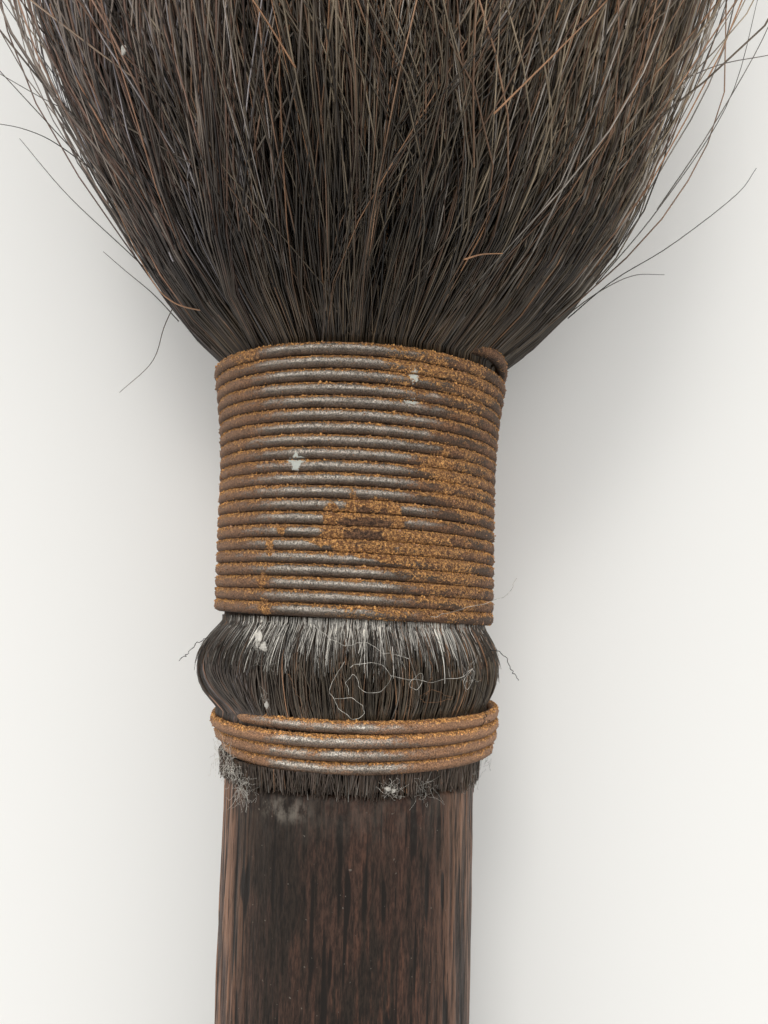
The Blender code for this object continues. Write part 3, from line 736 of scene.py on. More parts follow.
def wire_finish(looks):
    """Grey iron under a brown film and loose orange grains, with two flecks of old paint. Each turn is paler along a
    band near its top, as iron that hands rub and as painted highlight; the half of each turn that faces the handle is
    darkened as painted shade; the grooves between turns are darkened."""
    known = bpy.data.materials.get("rusty_iron")
    if known:
        return known
    finish = Finish("rusty_iron", specular=0.4)
    grit = finish.noise(3600, 4, roughness=0.75)
    fine = finish.noise(5600, 6, roughness=0.85)
    mottle = finish.noise(950, 4, (0.55, 1.5, 0.55), 0.62)
    cloud = finish.noise(420, 3, (0.7, 1.6, 0.7))
    side = finish.attribute("towards_handle")
    speckled = finish.shaken(finish.shaken(finish.attribute("film"), grit, 1.6), mottle, 1.4)
    film = finish.between(speckled, 0.25, 0.8)
    speckled = finish.shaken(finish.shaken(finish.attribute("grains"), fine, 1.5), grit, 1.3)
    loose = finish.between(finish.shaken(speckled, mottle, 1.1), 0.42, 0.7)
    # painted highlight: a paler band along the top of each turn, where the lamp's highlight falls, also standing for
    # iron that hands rub
    highlight_crest = finish.between(finish.maths("ABSOLUTE", finish.maths("ADD", side, 0.3)), 0.06, 0.48, 1.0, 0.0)
    iron = finish.mix(finish.between(mottle, 0.35, 0.65), shade(looks.iron, 0.5), colour(looks.iron))
    iron = finish.mix(finish.times(highlight_crest, finish.between(grit, 0.36, 0.6, 0.1, 1.0)), iron, colour(looks.rubbed))
    iron = finish.mix(finish.between(fine, 0.5, 0.72, 0.0, 0.6), iron, shade(looks.orange, 0.5))
    brown = finish.mix(finish.between(grit, 0.34, 0.62), shade(looks.red, 0.4), colour(looks.brown))
    tan = finish.between(finish.attribute("dry"), 0.25, 0.95, 0.0, 0.7)
    crust = finish.times(finish.between(cloud, 0.46, 0.55), finish.maths("SUBTRACT", 1.0, tan))
    brown = finish.mix(finish.times(crust, finish.between(fine, 0.35, 0.65, 1.0, 0.5)), brown, colour(looks.black))
    brown = finish.mix(finish.times(tan, finish.between(fine, 0.3, 0.6, 0.5, 1.0)), brown, colour(looks.tan))
    base = finish.mix(film, iron, brown)
    shaded = finish.times(finish.between(side, 0.0, 0.75, 0.0, 0.85), finish.between(fine, 0.35, 0.68, 1.0, 0.6))
    base = finish.mix(shaded, base, finish.mix(grit, shade(looks.brown, 0.12), shade(looks.brown, 0.5)))
    old = finish.mix(finish.between(grit, 0.38, 0.62), shade(looks.red, 0.2), shade(looks.brown, 0.8))
    base = finish.mix(finish.times(finish.attribute("core"), 0.85), base, old)
    bright = finish.mix(finish.between(finish.shaken(fine, grit, 0.8), 0.42, 0.68), shade(looks.red, 0.8),
                        colour(looks.orange))
    base = finish.mix(loose, base, bright)
    # darker at both edges of each turn, in the grooves where one turn meets the next
    low = finish.between(side, 0.72, 0.96)
    high = finish.between(side, -0.97, -1.0)
    groove_darkening = finish.times(finish.maths("MAXIMUM", low, high), finish.between(grit, 0.42, 0.64, 0.95, 0.2))
    base = finish.mix(groove_darkening, base, colour(looks.deep))
    dusted = finish.between(finish.attribute("dry"), 1.0, 1.5, 1.0, 1.5)
    powder = finish.between(finish.noise(8500, 2, roughness=0.8), 0.36, 0.64, 0.5, 1.5)
    base = finish.lit(base, finish.times(powder, dusted))
    fleck_radius = looks.upper_radius + looks.diameter / 2
    fleck = -1.0
    for degrees, up, half_sizes in PAINT_FLECKS:
        centre = round_axis(fleck_radius, math.radians(degrees), SHOULDER + up * MM)
        fleck = finish.maths("MAXIMUM", fleck, finish.near(centre, np.array(half_sizes) * MM))
    fleck = finish.between(finish.shaken(fleck, finish.noise(2600, 4, roughness=0.7), 1.9), 0.12, 0.24)
    fleck = finish.times(fleck, finish.between(side, 0.5, 0.9, 1.0, 0.0))
    base = finish.mix(fleck, base, finish.mix(grit, shade(looks.chip, 0.7), colour(looks.chip)))
    finish.set("Base Color", base)
    covered = finish.maths("MAXIMUM", finish.maths("MAXIMUM", film, loose), fleck)
    finish.set("Metallic", finish.between(covered, 0.0, 0.9, 0.6, 0.0))
    finish.set("Roughness", finish.between(covered, 0.0, 0.8, 0.32, 0.75))
    finish.bump(finish.shaken(finish.shaken(finish.times(covered, 0.4), fine, 1.3), grit, 0.8), 0.00014, 0.9)
    return finish.material


class WHISK_OT_windings(bpy.types.Operator):
    """Winds the wide sleeve and the narrow band, each from one length of rusty iron wire"""
    bl_idname = "whisk.windings"
    bl_label = "Wire windings"

    def execute(self, context):
        looks = context.scene.whisk_wire
        rng = np.random.default_rng(17)
        slant = lambda angle: -looks.upper_slant * np.sin(angle)
        flared = lambda along, angle: looks.upper_radius + flare(looks, along)
        upper = Winding(looks, MOUTH - looks.diameter / 2, looks.upper_turns, looks.upper_end, looks.upper_lift,
                        0.17, flared, slant, 41)
        upper.wire("upper_wire", "upper_wire_winding")
        upper.grains("upper_rust_grains", looks.upper_crumbs, rng)
        lean = lambda angle: -looks.lower_drop * np.cos(angle) + looks.lower_rise * np.sin(angle)
        stop = SHOULDER + looks.lower_bottom + looks.diameter / 2 + looks.lower_turns * looks.pitch
        low = lambda along: ease((stop - 1.4 * MM - along) / (2.8 * MM))
        tapered = lambda along, angle: (looks.lower_radius + looks.lower_shift * np.sin(angle) * (1 + low(along))
                                        - looks.lower_taper * low(along))
        lower = Winding(looks, stop, looks.lower_turns, looks.lower_end, looks.lower_lift, 0.16, tapered, lean, 51)
        lower.wire("lower_wire", "lower_wire_winding", extra_film=0.35)
        lower.grains("lower_rust_grains", looks.lower_crumbs, rng)
        return {"FINISHED"}


def flare(looks, along):
    """How far the wide winding stands outside its straight part: a parabola that starts below the mouth."""
    return looks.upper_flare * np.clip(1 - (MOUTH - along) / looks.flare_length, 0, 1.1) ** 2


# Hair


def hair_tints(rng, count, looks, grey=0.07, copper=0.02):
    """A colour for each hair: between dark and brown, with a few greyish ones as painted highlight, hairs that catch
    the light, and a few copper ones.
    """
    share = rng.random((count, 1)) ** 1.3
    tints = solid(looks.dark) * (1 - share) + solid(looks.brown) * share
    tints = np.where(rng.random((count, 1)) < 0.22, tints * (1.25, 0.95, 0.85, 1.0), tints)
    # painted highlight: a share of hairs tinted greyish, as hairs that catch the light
    tints = np.where(rng.random((count, 1)) < grey, solid(looks.grey) * rng.uniform(0.3, 0.9, (count, 1)), tints)
    lit = rng.random((count, 1)) < copper
    return np.where(lit, solid(looks.copper) * rng.uniform(0.2, 0.9, (count, 1)), tints)


def hair_piece(name, paths, radii, shades, material, facing, replaces=()):
    """One piece of many hairs: three-sided closed tubes, with a tint at each point of each hair."""
    count, points = paths.shape[:2]
    corners, faces = tubes(paths, radii, 3, facing)
    shades = np.broadcast_to(shades, (count, points, 4))
    bake_map = strip_map(count, points - 1, 3, points - 1)
    return new_piece(name, corners, faces, material, [("tint", np.repeat(shades, 3, axis=1))], bake_map,
                     replaces)


def towards(tints, tips, share):
    """Tints along hairs, from one set at the root to another by the share at each point."""
    return tints[:, None] * (1 - share[..., None]) + tips[:, None] * share[..., None]


def not_over(shades, most):
    """Tints dimmed, without a change of hue, where their strongest part is over the most allowed."""
    return shades * np.minimum(1, most / np.maximum(shades[..., :3].max(-1, keepdims=True), 1e-6))


def painted_window_light(shades, share):
    """Painted window light: tints turned towards violet on the hair that faces the window, as if lit by its cool
    light.
    """
    return shades * (1 + share * np.array((-0.05, 0.0, 0.25, 0.0)))


def tuft_section(looks, past):
    """Half width, and top and underside over the table, of the tuft at a distance past the mouth.

    The hair springs open as 1 - e^-x of the distance. The width then grows a little, narrows towards the tips,
    and the top sinks to the table; the underside reaches the table soon after the mouth.
    """
    wire = bpy.context.scene.whisk_wire
    mouth_radius = wire.upper_radius + wire.upper_flare - wire.diameter / 2 - 0.2 * MM
    inside = mouth_radius - wire.upper_flare + flare(wire, MOUTH + np.minimum(past, 0))
    axis = (BUTT + ALONG * MOUTH)[2] + past * ALONG[2]
    free = np.maximum(past, 0)
    narrowing = 1 - 0.45 * ease((free - 50 * MM) / (TIPS - MOUTH - 30 * MM))
    wide = mouth_radius + (looks.half_width - mouth_radius) * (1 - np.exp(-free / (13 * MM)))
    half = np.where(past > 0, wide + looks.widening * ease((free - 18 * MM) / (55 * MM)), inside)
    rise = np.where(past > 0, mouth_radius + (looks.rise - mouth_radius) * (1 - np.exp(-free / (13 * MM))), inside)
    sink = ease((free - 48 * MM) / (TIPS - MOUTH - 20 * MM))
    top = (axis + rise) * (1 - sink) + 13 * MM * sink
    fall = np.where(past > 0, mouth_radius + 1.15 * free, inside)
    under = np.maximum(axis - fall, 0.15 * MM)
    return half * narrowing, top, under


def in_tuft(looks, reach, angle, past):
    """World places in the tuft from a share of its half width, an angle from the top, and a distance past the
    mouth. The lower half is pressed on the table: its depth grows until the underside stops it."""
    half, top, under = tuft_section(looks, past)
    across, up = reach * np.sin(angle), reach * np.cos(angle)
    press = np.minimum(1 / np.sqrt(np.maximum(1 - across ** 2, 0.02)), 1 + 1.5 * ease(past / (40 * MM)))
    up = np.where(up < 0, np.maximum(up * press, -1.0), up)
    height = np.clip((top + under) / 2 + (top - under) / 2 * up, 0.12 * MM, TOP_LIMIT)
    along = MOUTH + past
    upward = (height - BUTT[2] - along * ALONG[2]) / UPWARD[2]
    aside = looks.swing_right * (hump(past, 12 * MM, 14 * MM) - 0.35 * hump(past, 27 * MM, 15 * MM))
    return to_world(np.clip(half * across + aside, -SIDE_LIMIT, SIDE_LIMIT), upward, along)


class WHISK_OT_tuft(bpy.types.Operator):
    """Grows the free hair: thousands of single hairs that spring open past the wire and lie along the table"""
    bl_idname = "whisk.tuft"
    bl_label = "Free hair"

    seed = 3
    a_piece = 2100
    wisps = 900
    locks = 110
    stations = np.array([-4, 0, 3.5, 7.5, 12, 17, 23, 29, 36, 45, 60, 95, 160, 250, 350]) * MM

    def execute(self, context):
        looks = context.scene.whisk_hair
        rng = np.random.default_rng(self.seed)
        self.core(looks)
        count = looks.tuft_count
        own = self.spread(rng, count, 0.5)
        own[: count // 9] *= np.sqrt(rng.uniform(0.0, 1.0, (count // 9, 1)))
        wisp, lock = self.spread(rng, self.wisps, 0.4), self.spread(rng, self.locks, 0.35)
        mine = np.linalg.norm(own[:, None] - wisp[None], axis=2).argmin(1)
        its = np.linalg.norm(wisp[:, None] - lock[None], axis=2).argmin(1)[mine]
        full = TIPS - MOUTH
        length = full * (0.80 + 0.17 * rng.random(self.locks))[its] * rng.uniform(0.93, 1.02, count)
        length = np.where(rng.random(count) < 0.12, length * rng.uniform(0.3, 0.95, count), length)
        past = self.stations[None] * (length / full)[:, None] ** ease(self.stations / (90 * MM))[None]
        far = past[..., None]
        gather = 0.72 * ease((far - 4 * MM) / (28 * MM))
        bundle = 0.35 * ease((far - 14 * MM) / (60 * MM)) + 0.25 * ease((far - 120 * MM) / (200 * MM))
        place = own[:, None] + (wisp[mine] - own)[:, None] * gather + (lock[its] - wisp[mine])[:, None] * bundle
        place = place + self.drift(rng, self.wisps, 0.12)[mine] * ease((far + 4 * MM) / (34 * MM))
        place = place + self.drift(rng, self.wisps, 0.19)[mine] * ease((far - 8 * MM) / (34 * MM))
        place = place + self.drift(rng, count, 0.06) * ease((far + 4 * MM) / (22 * MM))
        place = place + self.drift(rng, count, 0.13) * ease((far - 6 * MM) / (36 * MM))
        wave = rng.uniform(0.1, 1.0, (count, 1)) * 0.045 * ease((past - 3 * MM) / (30 * MM))
        phase = 2 * math.pi * (past / (rng.uniform(22, 90, (count, 1)) * MM) + rng.random((count, 1)))
        place = place + np.stack([wave * np.cos(phase), wave * np.sin(phase)], axis=-1)
        reach = np.linalg.norm(place, axis=-1)
        angle = np.arctan2(place[..., 1], place[..., 0])
        airy = ease((past - 4 * MM) / (26 * MM)) * (1 - 0.5 * ease((past - 42 * MM) / (40 * MM)))
        inner = 0.94 - 0.2 * rng.random((count, 1)) * airy
        wild = 0.25 * (rng.random((count, 1)) < 0.09)
        room = 1.0 - inner + (0.14 * rng.random((count, 1)) ** 3 + wild) * airy
        reach = np.minimum(reach, inner) + room * np.tanh(np.maximum(reach - inner, 0) / room)
        paths = in_tuft(looks, reach, angle, past)
        thick = looks.thickness / 2 * rng.uniform(0.5, 1.1, (count, 1))
        radii = thick * (1 - 0.6 * ease((past / length[:, None] - 0.6) / 0.4))
        shades = self.shades(rng, looks, past, own)
        material = tinted("horse_hair", 0.34, 0.42)
        facing = outward(angle[:, 4])[:, None]
        for k, first in enumerate(range(0, count, self.a_piece)):
            pick = slice(first, first + self.a_piece)
            hair_piece(f"tuft_hair_{k + 1}", paths[pick], radii[pick], shades[pick], material, facing[pick])
        self.loose(rng, looks, material)
        self.stray(looks, material)
        return {"FINISHED"}

    def spread(self, rng, count, inner):
        """Random places on a disc of radius 1, none nearer its middle than the root of `inner`, up and across."""
        reach, angle = np.sqrt(rng.uniform(inner, 1.0, count)), rng.uniform(-math.pi, math.pi, count)
        return np.stack([reach * np.cos(angle), reach * np.sin(angle)], axis=1)

    def drift(self, rng, count, usual):
        """Random sideways shares of the half width: most are small and a few are large."""
        return usual * np.exp(rng.normal(0, 0.6, (count, 1, 1))) * rng.normal(0, 1, (count, 1, 2))

    def shades(self, rng, looks, past, own):
        """Tints along each hair: its own, a stretch of some that turned copper, and rust dust at the wire. Past the
        wire they grow lighter as painted light, which fades again far out, and at the left they turn violet as painted
        window light.
        """
        count = len(past)
        tints = hair_tints(rng, count, looks)
        warm = solid(looks.copper) * rng.uniform(0.25, 0.8, (count, 1))
        middle, half = rng.uniform(10, 150, (count, 1)) * MM, rng.uniform(12, 60, (count, 1)) * MM
        turned = (rng.random((count, 1)) < 0.04) * hump(past, middle, half) * 0.8
        # painted light: hair lighter as it opens out past the wire, the lift fading again far out
        painted_light_fade = 1 - 0.66 * ease((past - 32 * MM) / (50 * MM))
        painted_light_along = 0.68 + 4.8 * ease(past / (36 * MM)) * painted_light_fade
        shades = towards(tints, warm, turned) * rng.uniform(0.35, 1.7, (*past.shape, 1)) * painted_light_along[..., None]
        shades = painted_window_light(not_over(shades, 0.4), ease(-own[:, 1:])[:, None])
        dust = np.array((0.17, 0.115, 0.065, 1.0)) * rng.uniform(0.4, 1.1, (count, 1))
        dusty = 0.75 * rng.random((count, 1)) * ease(1 - past / (6 * MM)) * ease((own[:, :1] + 0.1) / 0.6)
        return shades * (1 - dusty[..., None]) + dusty[..., None] * dust[:, None]

    def core(self, looks):
        """The dark mass inside: the tuft's own section at a smaller share, grooved lengthwise by noise."""
        past = np.concatenate([np.linspace(-4, 60, 40), np.linspace(66, 285, 36)]) * MM
        angle = -2 * math.pi * np.arange(240)[None] / 240
        share = 0.68 * (1 - 0.5 * ease((past[:, None] - 150 * MM) / (135 * MM)))
        groove = lattice_noise(angle / (2 * math.pi) + 0 * share, past[:, None] / (60 * MM), 70, 61)
        places = in_tuft(looks, share * (1 + 0.05 * groove), angle + 0 * share, past[:, None])
        corners, faces = wrapped_grid(places)
        # the inner hair, tinted darker than the darkest hair: painted shade deep in the tuft
        tint = np.tile(solid(looks.dark, 0.6), (len(corners), 1))
        new_piece("tuft_core", corners, faces, tinted("inner_hair", 0.8, 0.2), [("tint", tint)],
                  replaces=["hair_tuft"])

    def loose(self, rng, looks, material):
        """Loose hairs that lie across the others at a wider angle, some of them a little way off the tuft."""
        count, points = looks.loose_count, 15
        t = np.linspace(0, 1, points)[None]
        start = 3 * MM + rng.random((count, 1)) ** 0.7 * 42 * MM
        past = start + t * rng.uniform(16, 75, (count, 1)) * MM
        half_turn = rng.uniform(-2.1, 2.1, (count, 1))
        steady, bending = rng.normal(0, 0.38, (2, count, 1)) * ease((start + 6 * MM) / (26 * MM))
        sweep = steady * t + bending * t ** 2
        sweep = sweep + rng.normal(0, 0.04, (count, 1)) * np.sin(2 * math.pi * t * rng.uniform(0.6, 1.6, (count, 1)))
        spread = rng.uniform(-0.05, 0.03, (count, 1)) + rng.random((count, 1)) ** 4 * 0.13 * t
        dive = 0.15 * (rng.random((count, 1)) < 0.6) * ease((t - 0.75) / 0.25)
        reach = 0.98 + spread * ease(past / (30 * MM)) - 0.12 * (1 - ease(t / 0.15)) - dive
        paths = in_tuft(looks, reach, half_turn + sweep, past)
        thick = looks.thickness / 2 * rng.uniform(0.45, 0.95, (count, 1)) * (1 - 0.5 * t ** 2)
        shades = hair_tints(rng, count, looks, grey=0.3, copper=0.07)[:, None]
        # painted light: loose hairs lighter the farther they lie past the wire
        shades = shades * rng.uniform(0.8, 2.2, (count, points, 1)) * (1 + 0.5 * ease(past / (38 * MM)))[..., None]
        shades = painted_window_light(not_over(shades, 0.36), ease(-half_turn)[:, None])
        for k, pick in enumerate((slice(0, count // 2), slice(count // 2, count))):
            hair_piece(f"loose_hair_{k + 1}", paths[pick], thick[pick], shades[pick], material,
                       outward(half_turn[pick]))

    def stray(self, looks, material):
        """Single hairs that stand out from the tuft, each on a smooth line through a few listed places."""
        points = 18
        lines = []
        for line in STRAY_HAIRS:
            across, along, upward = np.array(line).T * MM
            lines.append(smooth_line(to_world(across, upward, SHOULDER + along), points))
        rng = np.random.default_rng(self.seed + 1)
        shades = hair_tints(rng, len(lines), looks, grey=0.5, copper=0.0)
        shades[FIRST_COPPER:] = solid(looks.copper)
        thick = looks.thickness / 2 * np.where(np.arange(len(lines)) < FIRST_COPPER, 0.75, 0.95)[:, None]
        radii = thick * np.linspace(1, 0.45, points)
        hair_piece("stray_hairs", np.stack(lines), radii, shades[:, None], material, UPWARD)


# Across, along from the shoulder, and upward, in mm. The last ones, from FIRST_COPPER on, are copper.
STRAY_HAIRS = (
    ((-22.3, 54.7, 7), (-27.8, 63.0, 9), (-33.3, 70.4, 11), (-38.5, 77.5, 12)),
    ((-22.2, 53.2, 6), (-26.9, 57.7, 9), (-32.3, 62.9, 12), (-38.2, 68.8, 14)),
    ((-21.5, 57.9, 7), (-25.6, 60.9, 9), (-30.8, 62.9, 11), (-38.0, 66.3, 13)),
    ((-22.0, 55.0, 2), (-29.0, 59.7, 6), (-32.7, 61.0, 8), (-37.9, 61.8, 8)),
    ((-19.9, 47.9, 0), (-23.8, 51.1, 3), (-29.4, 55.9, 5), (-34.1, 61.1, 6)),
    ((-19.6, 45.8, -3), (-21.9, 48.0, -1), (-24.8, 50.2, 0), (-27.1, 52.1, 0)),
    ((-20.5, 49.5, -6), (-22.2, 46.6, -7.5), (-23.6, 42.8, -8.5), (-27.2, 39.3, -9)),
    ((21.3, 46.6, -1), (25.6, 50.1, 1), (31.1, 53.5, 2), (37.8, 59.0, 2), (40.0, 62.0, 2)),
    ((21.3, 47.2, -2), (24.5, 49.5, -1), (27.8, 51.0, 0), (31.1, 51.2, 0)),
    ((27.4, 65.6, 9), (32.5, 67.4, 11), (37.0, 68.0, 12), (40.0, 68.7, 12)),
    ((22.2, 55.7, 11), (26.0, 60.8, 14), (30.9, 67.0, 16), (33.5, 71.8, 17)),
    ((29.2, 56.4, 4), (33.4, 63.0, 7), (38.2, 72.0, 9), (40.0, 78.0, 9)),
    ((24.0, 50.0, 0), (30.0, 57.5, 2), (36.5, 68.0, 4), (39.6, 80.0, 5)),
    ((-13.3, 43.0, 9), (-17.9, 44.5, 7.5), (-20.6, 47.6, 8), (-24.1, 54.9, 10)),
    ((8.6, 44.1, 21.4), (10.0, 44.4, 21.8), (11.7, 44.6, 21.6)),
    ((-4.7, 55.6, 28.8), (-7.4, 59.6, 29.4), (-10.4, 63.8, 29.6), (-13.0, 69.0, 29.4)),
    ((10.2, 53.3, 27.2), (15.6, 59.4, 26.6), (19.6, 64.6, 25.0), (23.0, 70.0, 22.6)),
)
FIRST_COPPER = 13


class WHISK_OT_bound_hair(bpy.types.Operator):
    """Lays the bound hair: the bulge between the windings, its cut ends, pale at the front as painted highlight, and
    the fringe over the handle
    """
    bl_idname = "whisk.bound_hair"
    bl_label = "Bound hair"

    seed = 9

    def execute(self, context):
        looks, wire = context.scene.whisk_hair, context.scene.whisk_wire
        rng = np.random.default_rng(self.seed)
        self.core(looks, wire)
        self.bulge(rng, looks, wire)
        self.cut_ends(rng, looks, wire)
        self.fringe(rng, looks, wire)
        return {"FINISHED"}

    def stations(self, wire, angle):
        """Bottom edge of the wide winding and top edge of the band at each angle."""
        upper = MOUTH - wire.diameter - wire.upper_turns * wire.pitch
        lower = SHOULDER + wire.lower_bottom + wire.diameter + wire.lower_turns * wire.pitch
        return upper, lower - wire.lower_drop * np.cos(angle) + wire.lower_rise * np.sin(angle)

    def bulge_radius(self, angle):
        """The bulge is fullest at the left, where a bunch of hair swings over, and leanest at the right."""
        bunch = 0.35 * hump(round_distance(angle, math.radians(-78)), 0, math.radians(40))
        return (14.5 - 0.32 * np.sin(angle) + bunch + 0.12 * lattice_noise(angle / 2 / math.pi, 0, 11, 73)) * MM

    def core(self, looks, wire):
        """The dark mass under the single hairs: straight under the wires, a sine bulge between them."""
        angle = -2 * math.pi * np.arange(160)[None] / 160
        upper, lower = self.stations(wire, 0.0)
        tight, band = 12.6 * MM, 12.9 * MM
        middle = np.linspace(lower - 1.4 * MM, upper + 1.4 * MM, 16)
        along = np.concatenate([SHOULDER + np.array([0.4, 0.5, 1.8]) * MM, middle,
                                MOUTH - np.array([2, 0.5]) * MM])[:, None]
        t = np.clip((along - lower) / (upper - lower), 0, 1)
        swell = (self.bulge_radius(angle) - 0.8 * MM - band) * np.sin(math.pi * t ** 0.85) ** 0.7
        radius = band + (tight - band) * t + swell
        radius = np.where(along < SHOULDER + 3 * MM, 12.1 * MM, radius)
        radius = np.where(along > MOUTH - 1 * MM, 12.9 * MM, radius) + 0 * angle
        radius[0] -= 1.0 * MM
        places = to_world(radius * np.sin(angle), radius * np.cos(angle), along + 0 * angle)
        corners, faces = wrapped_grid(places)
        # the inner hair, tinted darker than the darkest hair: painted shade deep under the bound hair
        tint = np.tile(solid(looks.dark, 0.7), (len(corners), 1))
        new_piece("bound_hair_core", corners, faces, tinted("inner_hair", 0.8, 0.2), [("tint", tint)],
                  replaces=["inner_hair_layer", "outer_hair_layer"])

    def bulge(self, rng, looks, wire):
        """Hairs that run from one winding to the other: a sine bulge outward, tucked under both."""
        count = looks.bulge_count
        angle = rng.uniform(-math.pi, math.pi, count)
        upper, lower = self.stations(wire, angle)
        t = np.linspace(-0.15, 1.15, 14)[None]
        depth = rng.random((count, 1)) ** 1.3
        swing = rng.normal(0, 0.03, (count, 1)) * t + 0.05 * lattice_noise(angle / 2 / math.pi, 0, 17, 74)[:, None] * t
        swing = swing + rng.normal(0, 0.012, (count, 1)) * np.sin(2 * math.pi * t)
        bunch = hump(round_distance(angle, math.radians(-66)), 0, math.radians(34))[:, None]
        swing = swing + (0.3 * ease((t - 0.15) / 0.9) - 0.12 * np.sin(math.pi * np.clip(t, 0, 1))) * bunch
        along = upper + (lower[:, None] - upper) * t
        full = self.bulge_radius(angle)[:, None] - 0.8 * MM * depth + rng.normal(0, 0.07, (count, 1)) * MM
        ends = (12.75 + 0.4 * t) * MM
        radius = ends + (full - ends) * np.sin(math.pi * np.clip(t, 0, 1) ** 1.2) ** 0.62
        paths = round_axis(radius, angle[:, None] + swing, along)
        radii = looks.thickness / 2 * rng.uniform(0.35, 0.8, (count, 1)) + 0 * t
        shades = hair_tints(rng, count, looks, grey=0.02, copper=0.05)[:, None] * rng.uniform(0.5, 1.5, (count, 14, 1))
        shades = shades + solid(looks.brown, 0.5) * rng.uniform(0.6, 1.3, (count, 14, 1))
        shades = painted_window_light(shades, ease(-np.sin(angle))[:, None, None])
        hair_piece("bulge_hair", paths, radii, shades, tinted("horse_hair", 0.34, 0.42), outward(angle)[:, None])

    def cut_ends(self, rng, looks, wire):
        """Short hairs that leave the wide winding, lean out over the bulge in small tufts and end cut, some pale: a
        few all round, and many at the front, where the pale is painted highlight.
        """
        count, tufts = looks.cut_count, 230
        tuft_angle = np.sort(rng.uniform(-math.pi, math.pi, tufts))
        tuft_reach = rng.uniform(2.0, 4.8, tufts) * MM
        angle = rng.uniform(-math.pi, math.pi, count)
        mine = np.abs((angle[:, None] - tuft_angle + math.pi) % (2 * math.pi) - math.pi).argmin(1)
        upper, _ = self.stations(wire, angle)
        t = np.linspace(0, 1, 9)[None]
        reach = (tuft_reach[mine] * rng.uniform(0.5, 1.15, count))[:, None]
        gather = (tuft_angle[mine] - angle + math.pi) % (2 * math.pi) - math.pi
        swing = angle[:, None] + 0.6 * gather[:, None] * t ** 1.5 + rng.normal(0, 0.022, (count, 1)) * t
        fan = 0.03 * np.sin(angle[:, None]) * t
        along = upper + 0.8 * MM - (reach + 0.8 * MM) * t
        gone = np.clip((upper - along) / (7.2 * MM), 0, 1)
        lift = self.bulge_radius(angle)[:, None] - 12.9 * MM + rng.uniform(-0.4, 0.12, (count, 1)) * MM
        radius = 12.9 * MM + lift * np.sin(math.pi * np.clip(gone, 0, 0.62) ** 1.15) ** 0.66
        radius = radius + 0.3 * MM * rng.random((count, 1)) ** 3 * t ** 3
        paths = round_axis(radius, swing + fan, along)
        radii = looks.thickness / 2 * rng.uniform(0.26, 0.62, (count, 1)) * (1 - 0.55 * t ** 2)
        tints = hair_tints(rng, count, looks, grey=0.12, copper=0.03)
        # painted highlight: cut ends at the front are tinted pale, and some of those get greyish tips
        front = ease((np.cos(angle[:, None] - 0.06) - 0.5) / 0.42)
        lit = rng.random((count, 1)) < 0.06 + 0.54 * front
        tints = np.where(lit, solid(looks.pale) * rng.uniform(0.3, 1.8, (count, 1)), tints)
        right = (rng.random(count) < 0.12 * ease((np.sin(angle) + 0.1) / 0.6))[:, None]
        tints = np.where(right, solid(looks.copper) * rng.uniform(0.4, 1.2, (count, 1)), tints)
        tips = np.where(lit & (rng.random((count, 1)) < 0.6), solid(looks.grey) * 0.5, tints)
        hair_piece("cut_hair_ends", paths, radii, towards(tints, tips, t ** 1.5 + 0 * reach),
                   tinted("cut_hair", 0.3, 0.55), outward(angle)[:, None])

    def fringe(self, rng, looks, wire):
        """Cut ends below the band, pressed in towards the top of the handle."""
        count = looks.fringe_count
        angle = rng.uniform(-math.pi, math.pi, count)
        _, lower = self.stations(wire, angle)
        start = lower - wire.diameter - wire.lower_turns * wire.pitch + 0.5 * MM
        t = np.linspace(0, 1, 6)[None]
        depth = rng.random((count, 1))
        ragged = 0.3 * MM * lattice_noise(angle / 2 / math.pi, 0, 29, 71)[:, None]
        end = SHOULDER + rng.normal(0.3, 0.32, (count, 1)) * MM + ragged
        along = start[:, None] + (end - start[:, None]) * t
        radius = (12.3 + 0.5 * depth - 0.3 * depth * t + 0.12 * t ** 2 * rng.normal(0, 1, (count, 1))) * MM
        swing = angle[:, None] + rng.normal(0, 0.022, (count, 1)) * t
        paths = round_axis(np.maximum(radius, 12.22 * MM), swing, along)
        radii = looks.thickness / 2 * rng.uniform(0.4, 0.75, (count, 1)) * (1 - 0.3 * t)
        dusty = rng.uniform(0.0, 0.85, (count, 1))
        dust = np.array((0.145, 0.108, 0.085, 1.0))
        tints = hair_tints(rng, count, looks, grey=0.03, copper=0.05) * (1 - dusty) + dusty * dust
        tips = np.where(rng.random((count, 1)) < 0.05, solid(looks.pale, 0.5), tints)
        hair_piece("fringe_hair", paths, radii, towards(tints, tips, t ** 2 + 0 * depth),
                   tinted("fringe_hair", 0.5, 0.4), outward(angle)[:, None])


